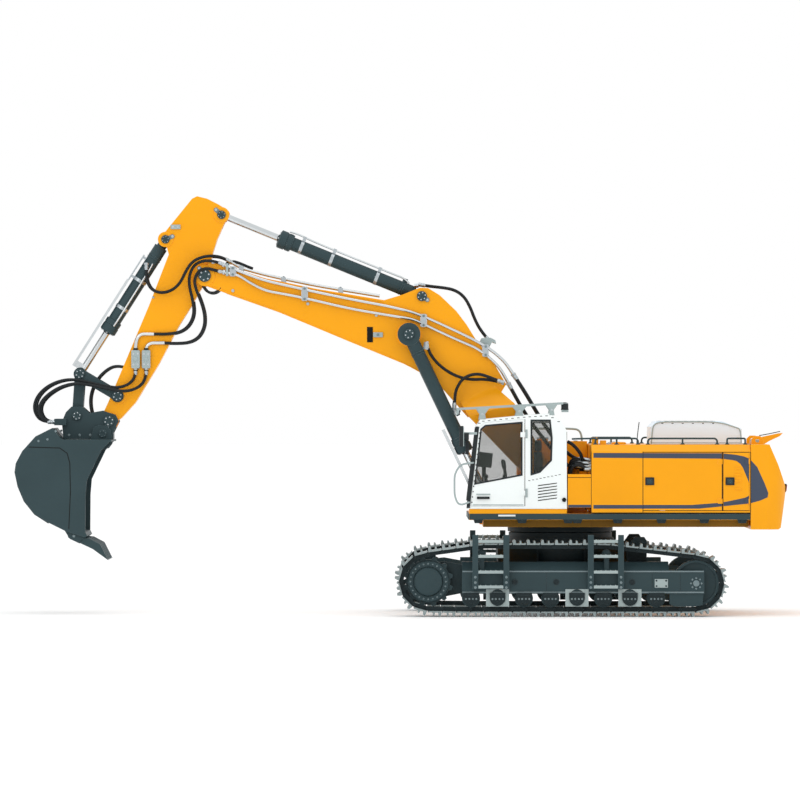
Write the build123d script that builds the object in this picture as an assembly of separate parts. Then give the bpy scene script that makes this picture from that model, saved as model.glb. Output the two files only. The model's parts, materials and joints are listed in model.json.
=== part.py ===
from build123d import *
import os
from math import atan2, ceil, cos, hypot, pi, radians, sin, sqrt, tan

# Radio-controlled crawler excavator, about 1:14. Millimetres, +Z up.
# Origin: the slew axis at ground level. The arm reaches towards -X, the cab side is -Y.

# ---- driving dimensions: tracks ----
TRACK_Y = 118.0          # track centre line
SHOE_WIDTH = 44.0
PITCH = 17.0             # chain pitch
LINKS = 50               # links in one chain
TEETH = 12
PITCH_R = PITCH / (2 * sin(pi / TEETH))
SPROCKET = (-162.9, 42.2)
IDLER = (161.287, 40.2)  # the tensioner's setting that closes a chain of 50 links
IDLER_LINE_R = 31.64     # chain line round the idler
RAIL = 2.4               # half height of a chain link bar
GROUSER = 8.56           # chain line to the shoe's grouser tip
ROLLER_R = 11.0
ROLLER_Z = 22.1
ROLLER_X = [-111.0 + 32.0 * k for k in range(8)]
CARRIER_R = 6.0
CARRIER_Z = 76.0
CARRIER_X = [-98.0, 53.0]
FRAME_HALF = 16.0        # half width of a track frame
FRAME_LOW, FRAME_HIGH = 27.6, 55.9

# ---- driving dimensions: house ----
DECK_LOW, DECK_MID, DECK_TOP = 107.7, 116.4, 124.2
EYE_POCKET_Z = 110.2      # floor of the pockets below the boom cylinders' rod eyes
HALF_WIDTH = 116.0
PANEL_FRONT, DOOR_SPLIT_A, DOOR_SPLIT_B, PANEL_REAR = 35.2, 97.5, 193.5, 228.0
PANEL_TOP, CHAMFER_Z, PANEL_LOW = 207.9, 199.5, 125.5
SKIN = 2.0               # panel thickness
HINGE_OUT = 0.9          # hinge line outside a door's face
REAR_DOOR_FRONT = DOOR_SPLIT_B + 1.2  # clear of the front door's knuckles as it swings
CAB_LEFT, CAB_RIGHT = -116.0, -49.0
CAB_WALL = 2.2
PILLAR_X = -46.0         # cab door hinge edge

# ---- driving dimensions: arm pivots (x, z) ----
BOOM_FOOT = (-13.5, 156.2)
LIFT_FOOT = (-83.6, 129.2)
LIFT_HEAD = (-186.0, 342.6)
STICK_PIVOT = (-436.6, 414.5)
STICK_ROD = (-416.1, 489.3)
STICK_BASE = (-170.2, 389.4)
CURL_BASE = (-484.9, 459.2)
ROCKER_TIP = (-589.9, 294.0)
ROCKER_PIVOT = (-543.7, 266.9)
BUCKET_PIVOT = (-554.2, 236.4)
LINK_FOOT = (-593.4, 242.6)
LIFT_Y = 34.5            # centre of each boom cylinder
BOOM_HALF = 22.0         # outside of the boom's side plates
BOOM_PLATE = 3.5
FOOT_HALF = 40.0         # half width of the flared boom foot
STICK_HALF = 15.0
ARM_FIT = 0.05           # radial running clearance of a pin in its bore
PIN = 5.0                # main arm pin radius
SMALL_PIN = 3.2
BARREL_R = 8.3
ROD_R = 4.3
BUCKET_HALF = 66.0
HOSE_R = 1.9
PIPE_R = 1.7
PORT_FACE = -620.9        # where the coupler hoses meet their block
PORT_Z = 235.0


# ---- helpers ----
def slab(points, y_low, y_high):
    """Plate with an outline of (x, z) points."""
    wire = Polyline([(x, y_low, z) for x, z in points], close=True)
    return extrude(make_face(wire), amount=y_high - y_low, dir=(0, 1, 0))


def sheet(points, z_low, z_high):
    """Plate with an outline of (x, y) points."""
    wire = Polyline([(x, y, z_low) for x, y in points], close=True)
    return extrude(make_face(wire), amount=z_high - z_low, dir=(0, 0, 1))


def section(points, x_low, x_high):
    """Length with a section of (y, z) points."""
    wire = Polyline([(x_low, y, z) for y, z in points], close=True)
    return extrude(make_face(wire), amount=x_high - x_low, dir=(1, 0, 0))


def block(x_low, x_high, y_low, y_high, z_low, z_high):
    low = (Align.MIN, Align.MIN, Align.MIN)
    return Pos(x_low, y_low, z_low) * Box(x_high - x_low, y_high - y_low, z_high - z_low, align=low)


def drum(centre, radius, y_low, y_high):
    """Cylinder along Y at an (x, z) centre."""
    base = Plane(origin=(centre[0], y_low, centre[1]), z_dir=(0, 1, 0))
    return base * Cylinder(radius, y_high - y_low, align=(Align.CENTER, Align.CENTER, Align.MIN))


def post(x, y, radius, z_low, z_high):
    return Pos(x, y, z_low) * Cylinder(radius, z_high - z_low, align=(Align.CENTER, Align.CENTER, Align.MIN))


def bar(start, end, radius):
    """Round bar between two points."""
    line = Vector(*end) - Vector(*start)
    base = Plane(origin=start, z_dir=line)
    return base * Cylinder(radius, line.length, align=(Align.CENTER, Align.CENTER, Align.MIN))


def tube(points, radius):
    """Pipe or hose along straight runs joined by tangent arcs."""
    spots = [Vector(*p) for p in points]
    radii = []
    for k in range(1, len(spots) - 1):
        before = spots[k] - spots[k - 1]
        after = spots[k + 1] - spots[k]
        turn = radians(before.get_angle(after))
        radii.append(0.45 * min(before.length, after.length) / tan(turn / 2))
    path = FilletPolyline(*points, radius=radii)
    start = Plane(origin=path @ 0, z_dir=path % 0)
    solid = sweep(start * Circle(radius), path=path)
    error = solid.volume / (pi * radius**2 * path.length) - 1
    print(f"tube r {radius}: length {path.length:.1f}, smallest arc {min(radii):.1f}, volume error {error:.4f}")
    return solid


def both_sides(shapes):
    """The shapes and their copies across the machine's middle plane."""
    return shapes + [mirror(shape, about=Plane.XZ) for shape in shapes]


def between(start, end, share):
    return tuple(a + (b - a) * share for a, b in zip(start, end))


def along(start, end, distance, side=0.0):
    """Point at a distance from start towards end, moved sideways (left of travel)."""
    length = hypot(end[0] - start[0], end[1] - start[1])
    ux, uz = (end[0] - start[0]) / length, (end[1] - start[1]) / length
    return (start[0] + ux * distance - uz * side, start[1] + uz * distance + ux * side)


def strip(start, end, low, high):
    """Outline of a straight strip between two distances left of a line."""
    length = hypot(end[0] - start[0], end[1] - start[1])
    spots = [(0, low), (length, low), (length, high), (0, high)]
    return [along(start, end, distance, side) for distance, side in spots]


def save(node, *shapes):
    solids = [solid for shape in shapes for solid in shape.solids()]
    export_step(Compound(solids), f"parts/{node}.step")


# ---- chain ----
def belt_line(circles):
    """Closed line round circles (x, z, radius), along the top towards +X."""
    normals = []
    for k, (x, z, radius) in enumerate(circles):
        next_x, next_z, next_radius = circles[(k + 1) % len(circles)]
        gap = hypot(next_x - x, next_z - z)
        ux, uz = (next_x - x) / gap, (next_z - z) / gap
        lean = (radius - next_radius) / gap
        side = sqrt(1 - lean**2)
        normals.append((ux * lean - uz * side, uz * lean + ux * side))
    line = []
    for k, (x, z, radius) in enumerate(circles):
        first = atan2(normals[k - 1][1], normals[k - 1][0])
        turn = (first - atan2(normals[k][1], normals[k][0])) % (2 * pi)
        steps = max(1, ceil(turn / radians(1.5)))
        for step in range(steps + 1):
            angle = first - turn * step / steps
            line.append((x + radius * cos(angle), z + radius * sin(angle)))
    return line


def chain_pins():
    """Pin centres, one chain pitch apart in a straight line."""
    bottom_r = ROLLER_R + RAIL + 0.14
    circles = [(*SPROCKET, PITCH_R)]
    circles += [(x, CARRIER_Z, CARRIER_R + RAIL) for x in CARRIER_X]
    circles += [(*IDLER, IDLER_LINE_R)]
    circles += [(ROLLER_X[7], ROLLER_Z, bottom_r), (ROLLER_X[0], ROLLER_Z, bottom_r)]
    line = belt_line(circles)
    lengths = [hypot(b[0] - a[0], b[1] - a[1]) for a, b in zip(line, line[1:] + line[:1])]

    def at(distance):
        distance %= sum(lengths)
        k = 0
        while distance > lengths[k]:
            distance -= lengths[k]
            k += 1
        return between(line[k], line[(k + 1) % len(line)], distance / lengths[k] if lengths[k] else 0)

    pins = [at(0)]
    walked = 0.0
    for link in range(LINKS):
        low, high = walked + 0.99 * PITCH, walked + 1.06 * PITCH
        for halving in range(40):
            middle = (low + high) / 2
            spot = at(middle)
            if hypot(spot[0] - pins[-1][0], spot[1] - pins[-1][1]) < PITCH:
                low = middle
            else:
                high = middle
        walked = middle
        pins.append(at(walked))
    return pins


def slot_bar(y_low, y_high, bore=0.0):
    """Link bar from pin to pin, round at both ends."""
    body = block(0, PITCH, y_low, y_high, -RAIL, RAIL)
    for x in (0, PITCH):
        body += drum((x, 0), RAIL, y_low, y_high)
    if bore:
        for x in (0, PITCH):
            body -= drum((x, 0), bore, y_low - 1, y_high + 1)
    return body


def inner_link():
    link = slot_bar(6.6, 9.0) + slot_bar(-9.0, -6.6)
    for x in (0, PITCH):
        link += drum((x, 0), 1.9, -6.7, 6.7)
        link += drum((x, 0), 1.1, -11.8, 11.8)
    return link


def outer_link():
    return [slot_bar(9.3, 11.7, bore=1.2), slot_bar(-11.7, -9.3, bore=1.2)]


def shoe():
    """Track plate with two grousers; the leading lip hooks up."""
    profile = [(0.4, RAIL), (15.4, RAIL), (16.6, 3.4), (16.6, 4.6), (14.6, 4.2), (11.2, 4.2), (10.6, 7.4)]
    profile += [(8.9, 7.4), (8.4, 4.2), (4.4, 4.2), (3.6, GROUSER), (1.4, GROUSER), (0.4, 5.2)]
    half = SHOE_WIDTH / 2
    plate = slab(profile, -half, half)
    for y in (-18.0, 18.0):
        plate -= block(9.4, 12.0, y - 1.6, y + 1.6, 3.4, 8.0)
    return plate


def track_chain(side_y):
    pins = chain_pins()
    links, shoes = [], []
    inner, outer, plate = inner_link(), outer_link(), shoe()
    for k in range(LINKS):
        (x, z), (end_x, end_z) = pins[k], pins[k + 1]
        run = ((end_x - x) / PITCH, 0, (end_z - z) / PITCH)
        place = Plane(origin=(x, side_y, z), x_dir=run, z_dir=(-run[2], 0, run[0])).location
        links += [place * inner] if k % 2 == 0 else [place * piece for piece in outer]
        shoes.append(place * plate)
    return links, shoes


def sprocket(side_y, out):
    """Toothed ring with a bolted hub cover on its outer side (out is -1 or +1)."""
    tip, root, tooth = PITCH_R - 2.4, PITCH_R - 6.0, 3.2
    first = chain_pins()[0]
    phase = atan2(first[1] - SPROCKET[1], first[0] - SPROCKET[0]) + pi / TEETH
    body = drum(SPROCKET, root, side_y - 5, side_y + 5)
    for k in range(TEETH):
        turn = phase + 2 * pi * k / TEETH
        ux, uz = cos(turn), sin(turn)
        outline = []
        for reach, half in [(root - 2, tooth), (root + 1, tooth), (tip, tooth * 0.6)]:
            outline.append((reach, half))
        outline += [(reach, -half) for reach, half in reversed(outline)]
        spots = [(SPROCKET[0] + a * ux - b * uz, SPROCKET[1] + a * uz + b * ux) for a, b in outline]
        body += slab(spots, side_y - 5, side_y + 5)
    faces = sorted((side_y + out * 5, side_y + out * 9))
    body += drum(SPROCKET, 24.5, *faces)
    faces = sorted((side_y + out * 9, side_y + out * 13))
    body += drum(SPROCKET, 17.0, *faces)
    for k in range(24):
        turn = 2 * pi * k / 24
        spot = (SPROCKET[0] + 21.5 * cos(turn), SPROCKET[1] + 21.5 * sin(turn))
        faces = sorted((side_y + out * 8.5, side_y + out * 10.2))
        body += drum(spot, 1.2, *faces)
    shaft = sorted((side_y - out * 5, side_y - out * 9.5))
    return body + drum(SPROCKET, 12.0, *shaft)


def idler(side_y):
    rim = sqrt(IDLER_LINE_R**2 - (PITCH / 2) ** 2) - RAIL - 0.1
    body = drum(IDLER, rim, side_y - 9.2, side_y + 9.2) - drum(IDLER, rim - 3, side_y + 5, side_y + 10)
    body -= drum(IDLER, rim - 3, side_y - 10, side_y - 5)
    body += drum(IDLER, 7.5, side_y - 9.2, side_y + 9.2)
    return body - drum(IDLER, 3.0 + ARM_FIT, side_y - 10, side_y + 10)


def roller(x, z, radius, side_y):
    """Flanged roller on a stub shaft."""
    body = drum((x, z), radius - 2.5, side_y - 12.4, side_y + 12.4)
    for low, high in ((-12.4, -6.2), (6.2, 12.4)):
        body += drum((x, z), radius, side_y + low, side_y + high)
    return body + drum((x, z), 2.2, side_y - 13.15, side_y + 13.15)


def track_frame(side_y, out):
    """Welded box with a roof that sheds dirt, an idler fork and a final-drive arm."""
    low, high = FRAME_LOW, FRAME_HIGH
    wall = FRAME_HALF - 13.2
    ring = [(16, low), (16, high), (5, 66), (-16, 66), (-16, low), (-16 + wall, low), (-16 + wall, 34.8)]
    ring += [(16 - wall, 34.8), (16 - wall, low)]
    body = section([(side_y + out * y, z) for y, z in ring], -122, 128)
    for y_low, y_high in ((10.4, 16.0), (-16.0, -10.4)):
        spots = sorted((side_y + y_low, side_y + y_high))
        body += block(127, 171, *spots, low, high)
        body += drum(IDLER, 9.0, *spots)
    body += drum(IDLER, 3.0, side_y - 11, side_y + 11)
    for x in ROLLER_X:
        for y_low, y_high in ((13.2, 16.0), (-16.0, -13.2)):
            body += block(x - 3.5, x + 3.5, side_y + y_low, side_y + y_high, 18.5, low + 1)
    for x in CARRIER_X:
        for y in (-14.6, 14.6):
            body += block(x - 3, x + 3, side_y + y - 1.4, side_y + y + 1.4, 50, CARRIER_Z + 3)
    arm = sorted((side_y - out * 9.8, side_y - out * 16))
    shape = [(-120, 28), (-120, 62), (-142, 66), (-163, 64), (-180, 56), (-184, 42), (-180, 30), (-163, 22), (-140, 24)]
    body += slab(shape, *arm)
    skid = [(129, low + 1), (170, low + 1), (169, 14), (160, 12.2), (135, 12.2), (129, 15)]
    for y_low, y_high in ((12.2, 14.6), (-14.6, -12.2)):
        body += slab(skid, side_y + y_low, side_y + y_high)
    return body


def roller_guards():
    """Light plates that keep the chain on the rollers."""
    guards = []
    for side in (-1, 1):
        for k in (1, 4, 6):
            x = ROLLER_X[k]
            outline = [(x - 14, 12.2), (x + 14, 12.2), (x + 14, 33.2), (x - 14, 33.2)]
            y = sorted((side * (TRACK_Y + 16.0), side * (TRACK_Y + 17.4)))
            guards.append(slab(outline, *y) - drum((x, ROLLER_Z + 2), 9.0, y[0] - 1, y[1] + 1))
    return guards


def track_steps():
    """Four boarding ladders, bolted to the outside of the track frames."""
    ladders = []
    for side in (-1, 1):
        for x_low, x_high in ((-109.5, -65.0), (30.0, 73.5)):
            near, far = side * (TRACK_Y + 22.6), side * (TRACK_Y + 26.6)
            y = sorted((near, far))
            body = None
            for x in (x_low, x_high - 7):
                rail = block(x, x + 7, *y, 33.5, 99)
                foot = sorted((side * (TRACK_Y + FRAME_HALF), far))
                rail += block(x, x + 7, *foot, 33.5, 37.5)
                rail += block(x, x + 7, *foot, 46, 50)
                body = rail if body is None else body + rail
            for z in (36, 54, 73, 91):
                body += block(x_low, x_high, *y, z - 2, z + 2)
            ladders.append(body)
    return ladders


def centre_frame():
    """Car body: two cross members and a drum that carries the slew ring."""
    inner = TRACK_Y - FRAME_HALF
    body = post(0, 0, 66, 48, 93.3)
    for x_low, x_high in ((-78, -30), (30, 78)):
        beam = [(-inner, 40), (inner, 40), (inner, 64), (50, 88), (-50, 88), (-inner, 64)]
        body += section(beam, x_low, x_high)
    body += block(-60, 60, -60, 60, 48, 80)
    return body - post(0, 0, 40, 40, 99)


def travel_motors():
    motors = []
    for side in (-1, 1):
        y = sorted((side * (TRACK_Y - 16.0), side * (TRACK_Y - 42)))
        gear = sorted((side * (TRACK_Y - 16.0), side * (TRACK_Y - 24)))
        motors.append(drum(SPROCKET, 15, *y) + drum(SPROCKET, 19, *gear))
    return motors


def build_undercarriage():
    for name, side in (("left", -1), ("right", 1)):
        y = side * TRACK_Y
        links, shoes = track_chain(y)
        save(f"{name}_track_links", *links)
        save(f"{name}_track_shoes", *shoes)
        save(f"{name}_track_frame", track_frame(y, side))
        save(f"{name}_sprocket", sprocket(y, side))
        save(f"{name}_idler", idler(y))
    rollers = []
    for side in (-1, 1):
        rollers += [roller(x, ROLLER_Z, ROLLER_R, side * TRACK_Y) for x in ROLLER_X]
        rollers += [roller(x, CARRIER_Z, CARRIER_R - 0.9, side * TRACK_Y) for x in CARRIER_X]
    save("track_rollers", *rollers)
    save("roller_guards", *roller_guards())
    save("track_steps", *track_steps())
    save("centre_frame", centre_frame())
    save("slew_ring", post(0, 0, 62, 93.3, 100.3) - post(0, 0, 50, 90, 101))
    save("travel_motors", *travel_motors())


# ---- house ----
def house_frame():
    """Deck with the inner slew ring below and the boom brackets above."""
    plan = [(-96, -46.5), (-113, -46.5), (-113, -114), (228, -114), (228, 114), (-113, 114), (-113, 46.5), (-96, 46.5)]
    body = sheet(plan, DECK_MID, DECK_TOP)
    body -= block(-120, -38, -46.5, 46.5, DECK_MID - 1, DECK_TOP + 1)
    body += block(-96, 226, -100, 100, DECK_LOW, DECK_MID)
    body += block(-113, 5.5, CAB_LEFT + 2, CAB_RIGHT, DECK_TOP, 129.6)
    body += post(0, 0, 60, 100.8, DECK_LOW + 1) - post(0, 0, 46, 100, DECK_LOW)
    ears = [(-100, 110), (-98, 135), (-88, 141), (-62, 152), (-28, 174), (-6, 179), (8, 170), (31, 126), (31, 110)]
    inner = [(-97, 110), (-95, 134), (-84, 140), (-73, 134), (-62, 112)]
    for side in (-1, 1):
        body += slab(ears, *sorted((side * 42.0, side * 46.0)))
        body += slab(inner, *sorted((side * 24.0, side * 27.0)))
    for side in (-1, 1):
        body -= block(-104, -58, *sorted((side * 27.2, side * 41.6)), EYE_POCKET_Z, DECK_MID + 1)
    body -= drum(BOOM_FOOT, PIN, -50, 50)
    body -= drum(LIFT_FOOT, SMALL_PIN, -50, 50)
    return body


def house_pins():
    """Boom foot pin, and the stub pins in the brackets beside each lift rod eye."""
    pins = [drum(BOOM_FOOT, PIN, -46.8, 46.8)]
    for side in (-1, 1):
        pins.append(drum(LIFT_FOOT, SMALL_PIN, *sorted((side * 41.4, side * 47.0))))
        pins.append(drum(LIFT_FOOT, SMALL_PIN, *sorted((side * 23.0, side * 27.8))))
    return pins


def body_outline(inset):
    half, top, low = HALF_WIDTH - inset, PANEL_TOP - inset, PANEL_LOW
    lean = PANEL_TOP - CHAMFER_Z
    return [(-half, low), (-half, CHAMFER_Z), (-half + lean, top), (half - lean, top), (half, CHAMFER_Z), (half, low)]


def door_openings(side):
    """Service door openings (x range) on one side of the engine bay."""
    if side < 0:
        return [(DOOR_SPLIT_A, DOOR_SPLIT_B - 0.2), (REAR_DOOR_FRONT, PANEL_REAR - 1.6)]
    return [(DOOR_SPLIT_A, DOOR_SPLIT_B)]


def body_panels():
    shell = section(body_outline(0), PANEL_FRONT, PANEL_REAR)
    shell -= section(body_outline(SKIN), PANEL_FRONT + SKIN, PANEL_REAR + 1)
    shell -= block(PANEL_FRONT + 4, PANEL_REAR + 1, -110, 110, PANEL_LOW - 1, 140)
    for side in (-1, 1):
        for x_low, x_high in door_openings(side):
            y = sorted((side * (HALF_WIDTH - 6), side * (HALF_WIDTH + 1)))
            shell -= block(x_low, x_high, *y, PANEL_LOW + 2.5, CHAMFER_Z - 1.0)
    shell -= block(120, 208, -58, 58, PANEL_TOP - 5, PANEL_TOP + 1)
    return shell


def side_box():
    """Fuel tank box in front of the engine bay, on the right."""
    outline = [(49, DECK_TOP), (49, 211), (108, 211), (116, 203), (116, DECK_TOP)]
    tank = section(outline, -52, 34.6)
    tank += post(-20, 84, 7, 210, 214)
    steps = block(-106, -53, 49, 116, DECK_TOP, 152)
    return [tank, steps]


def fixed_left_panel():
    return block(6.4, 34.6, -116, -78, 131.5, 172)


def service_door(x_low, x_high, side):
    """Flat door with knuckles on its hinge edge, the rear one."""
    y = sorted((side * (HALF_WIDTH - SKIN), side * HALF_WIDTH))
    z_low, z_high = PANEL_LOW + 2.8, CHAMFER_Z - 1.3
    door = block(x_low + 0.3, x_high - 0.3, *y, z_low, z_high)
    for z in (z_low + 8, z_high - 14):
        knuckle = post(x_high, side * (HALF_WIDTH + HINGE_OUT), 0.85, z, z + 6)
        leaf = sorted((side * (HALF_WIDTH - 0.2), side * (HALF_WIDTH + HINGE_OUT)))
        door += knuckle + block(x_high - 5, x_high - 0.3, *leaf, z, z + 6)
    latch = sorted((side * (HALF_WIDTH - 0.2), side * (HALF_WIDTH + 1.2)))
    return door + block(x_low + 3.2, x_low + 12.5, *latch, 159.6, 167.6)


def counterweight():
    profile = [(228.3, 105), (262, 105), (265, 107), (272, 155), (262, 183), (251, 208), (228.3, 208)]
    body = slab(profile, -HALF_WIDTH, HALF_WIDTH)
    plan = Pos(200, 0, 150) * Box(144, 2 * HALF_WIDTH, 120)
    plan = fillet(plan.edges().filter_by(Axis.Z).group_by(Axis.X)[-1], 24)
    body &= plan
    for y in (-55.0, 55.0):
        eye = slab([(232, 207), (247, 207), (247, 214), (243, 218), (236, 218), (232, 214)], y - 2.5, y + 2.5)
        body += eye - drum((239.5, 212.5), 2.5, y - 5, y + 5)
    body += block(234, 248.5, -20, 20, 207, 211.5)
    mast = slab([(246, 206), (254, 206), (262, 211), (275, 217), (279, 221), (273, 220.5), (252, 216), (246, 212)], 86, 90)
    return body + mast


def engine_hood():
    profile = [(109, 208), (109, 229), (116, 236), (196, 236), (214, 229), (220, 227), (220, 208)]
    hood = slab(profile, -62, 62)
    inner = [(111, 207), (111, 228), (117, 234), (195, 234), (213, 227.2), (218, 225.4), (218, 207)]
    return hood - slab(inner, -60, 60)


def deck_handrails():
    rails = []
    for y in (-108.0, 108.0):
        for x_low, x_high in ((40.0, 92.0), (104.0, 188.0)):
            foot, top = PANEL_TOP, 215.3
            points = [(x_low, y * 0.97, foot), (x_low, y * 0.97, top), (x_high, y * 0.97, top), (x_high, y * 0.97, foot)]
            radii = [4.0, 4.0]
            path = FilletPolyline(*points, radius=radii)
            rails.append(sweep(Plane(origin=path @ 0, z_dir=path % 0) * Circle(1.1), path=path))
    return rails


def pump_hoses():
    """Hoses from the pump bay, behind the cab, to the swivel on the slew motor."""
    hoses = []
    for k in range(3):
        lane, y, z = 11.0 + 4.6 * k, -104.0 + 8 * k, 180.0 + 4.5 * k
        route = [(PANEL_FRONT, y, z), (lane + 11 - 2 * k, y + 1, z + 1), (lane + 2, y + 8, z + 2), (lane, y + 19, z + 1)]
        route += [(lane + 1, -62, 184 + k), (lane, -48, 177), (lane + 1, -36, 167.5), (lane, -24, 161)]
        route += [(lane, -11, 160)]
        hoses.append(tube(route, HOSE_R))
    return hoses


def house_inside():
    """Battery, pump, valves, oil tank, slew motor and electronics on the deck."""
    save("battery_pack", block(150, 222, -70, 0, DECK_TOP, 170))
    motor = bar((60, -40, 150), (100, -40, 150), 18) + bar((98, -40, 150), (125, -40, 150), 13)
    save("pump_unit", motor + block(60, 120, -55, -25, DECK_TOP, 142), *pump_hoses())
    valves = block(62, 118, 20, 60, DECK_TOP, 160)
    for k in range(6):
        valves += block(64 + 9 * k, 70 + 9 * k, 26, 54, 158, 176)
    save("valve_block", valves)
    save("oil_tank", block(150, 215, 30, 100, DECK_TOP, 185))
    save("control_board", block(130, 145, -60, 20, DECK_TOP, 160))
    save("slew_motor", post(20, 0, 12, DECK_TOP, 150) + block(9, 31, -11, 11, 150, 168))


def cab_profile(inset):
    walls = [(-116.5, 130), (-105, 230), (-99.6, 238.6), (-43, 244), (-16, 245.6), (-1, 236), (5, 225), (5.5, 130)]
    if not inset:
        return walls
    inner = [(-114.1, 132.4), (-102.8, 229), (-98.4, 236.3), (-43, 241.6), (-16.6, 243.1), (-2.6, 234.6)]
    return inner + [(2.6, 224.4), (3.1, 132.4)]


DOOR_SHAPE = [(-110.6, 133.6), (-46.4, 133.6), (-46.4, 238.4), (-94.5, 234.4), (-101.4, 228.0), (-104.2, 199.0)]
DOOR_PANE = [(-106.0, 160.4), (-49.5, 171.2), (-49.5, 234.6), (-93.4, 230.8), (-98.6, 226.5), (-101.6, 199.0)]
REAR_PANE = [(-37.5, 237.0), (-15.5, 237.0), (-13.2, 216.0), (-14.0, 189.0), (-27.6, 175.0), (-37.5, 172.0)]
RIGHT_PANE = [(-105.5, 150.0), (-12.0, 150.0), (-12.0, 235.0), (-93.0, 232.0), (-101.0, 224.0)]


def grown(points, amount):
    """The outline moved outwards all round."""
    wire = Polyline([(x, 0, z) for x, z in points], close=True)
    return offset(make_face(wire), amount, kind=Kind.INTERSECTION)


def cab_shell():
    shell = slab(cab_profile(False), CAB_LEFT, CAB_RIGHT)
    shell -= slab(cab_profile(True), CAB_LEFT + CAB_WALL, CAB_RIGHT - CAB_WALL)
    door = extrude(grown(DOOR_SHAPE, 0.3), amount=10, dir=(0, 1, 0))
    shell -= Pos(0, CAB_LEFT - 5, 0) * door
    shell -= slab(REAR_PANE, CAB_LEFT - 1, CAB_LEFT + 5)
    shell -= slab(RIGHT_PANE, CAB_RIGHT - 5, CAB_RIGHT + 1)
    shell -= slab([(-125, 142), (-125, 228), (-98, 228), (-98, 142)], CAB_LEFT + 5, CAB_RIGHT - 5)
    shell -= block(-2, 10, CAB_LEFT + 8, CAB_RIGHT - 8, 180, 222)
    return shell


def cab_glass():
    """Side, front and rear panes, each in the middle of its wall."""
    panes = [slab(REAR_PANE, CAB_LEFT + 0.6, CAB_LEFT + 1.6)]
    panes.append(slab(RIGHT_PANE, CAB_RIGHT - 1.6, CAB_RIGHT - 0.6))
    front = [(-114.5, 142), (-104.7, 228), (-103.7, 228), (-113.5, 142)]
    panes.append(slab(front, CAB_LEFT + 5, CAB_RIGHT - 5))
    panes.append(block(3.7, 4.7, CAB_LEFT + 8, CAB_RIGHT - 8, 180, 222))
    return panes


def cab_door():
    door = slab(DOOR_SHAPE, CAB_LEFT, CAB_LEFT + SKIN) - slab(DOOR_PANE, CAB_LEFT - 1, CAB_LEFT + 3)
    for z in (146.0, 217.0):
        y = CAB_LEFT - HINGE_OUT
        door += post(PILLAR_X, y, 0.85, z, z + 6)
        door += block(-51, -46.4, y, CAB_LEFT + 0.2, z, z + 6)
    handle = block(-103, -89, CAB_LEFT - 2.4, CAB_LEFT - 0.9, 142.4, 144.8)
    handle += block(-103, -101, CAB_LEFT - 2.4, CAB_LEFT + 0.2, 142.4, 144.8)
    return door + handle + block(-91, -89, CAB_LEFT - 2.4, CAB_LEFT + 0.2, 142.4, 144.8)


def operator_seat():
    seat = block(-62, -28, -100, -66, 146, 154) + block(-32, -24, -100, -66, 150, 200)
    seat += block(-31, -25, -92, -74, 200, 214)
    return seat + block(-58, -30, -94, -72, 132.4, 147)


def cab_console():
    parts = []
    for y_low, y_high in ((-109, -102), (-64, -57)):
        console = block(-74, -40, y_low, y_high, 132.4, 166)
        parts.append(console + bar((-68, (y_low + y_high) / 2, 165), (-70, (y_low + y_high) / 2, 180), 1.6))
    parts.append(block(-97, -94, -74, -58, 168, 190) + block(-97, -95, -67, -65, 132.4, 169))
    for y in (-92, -80):
        parts.append(bar((-88, y, 132.8), (-92, y, 168), 1.2))
    return parts


def roof_z(x):
    """Height of the cab roof's outside at x."""
    line = cab_profile(False)
    for (x_low, z_low), (x_high, z_high) in zip(line, line[1:]):
        if x_low <= x <= x_high:
            return z_low + (z_high - z_low) * (x - x_low) / (x_high - x_low)


def roof_guard():
    """Scalloped falling-object guard above the roof."""
    rail = [(-128, 246.5), (-128, 250), (-118, 254), (-96, 250.5), (-70, 254.5), (-48, 251), (-24, 257), (-4, 258.5)]
    rail += [(1, 256), (1, 247.5)]
    guard = slab(rail, CAB_LEFT, CAB_LEFT + 2.4) + slab(rail, CAB_RIGHT - 2.4, CAB_RIGHT)
    for x in (-97.0, -46.0, -19.0):
        foot = [(x, roof_z(x)), (x + 3, roof_z(x + 3)), (x + 3, 250), (x, 250)]
        guard += slab(foot, CAB_LEFT, CAB_LEFT + 2.4) + slab(foot, CAB_RIGHT - 2.4, CAB_RIGHT)
    for k in range(9):
        x = -125.0 + 15.2 * k
        guard += block(x, x + 3, CAB_LEFT + 1, CAB_RIGHT - 1, 247.2, 250)
    return guard


def cab_rails():
    """Mirror arms, mirror, grab rail and a beacon."""
    y = CAB_LEFT - 6.0
    route = [(-113.4, CAB_LEFT, 138), (-113.4, y, 138), (-126, y, 134), (-131, y, 146), (-131, y, 172)]
    route += [(-124, y, 184), (-108.2, y, 186), (-108.2, CAB_LEFT, 186)]
    mirror_body = block(-124.5, -119.5, CAB_LEFT - 9, CAB_LEFT - 1, 206, 230)
    mirror_body += block(-120, -103.6, CAB_LEFT - 2, CAB_LEFT, 220, 223)
    beacon = post(3.6, -82, 4.2, 250, 258) + block(-0.4, 8, -86, -78, 247.2, 250)
    return [tube(route, 1.1), mirror_body, beacon]


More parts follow.
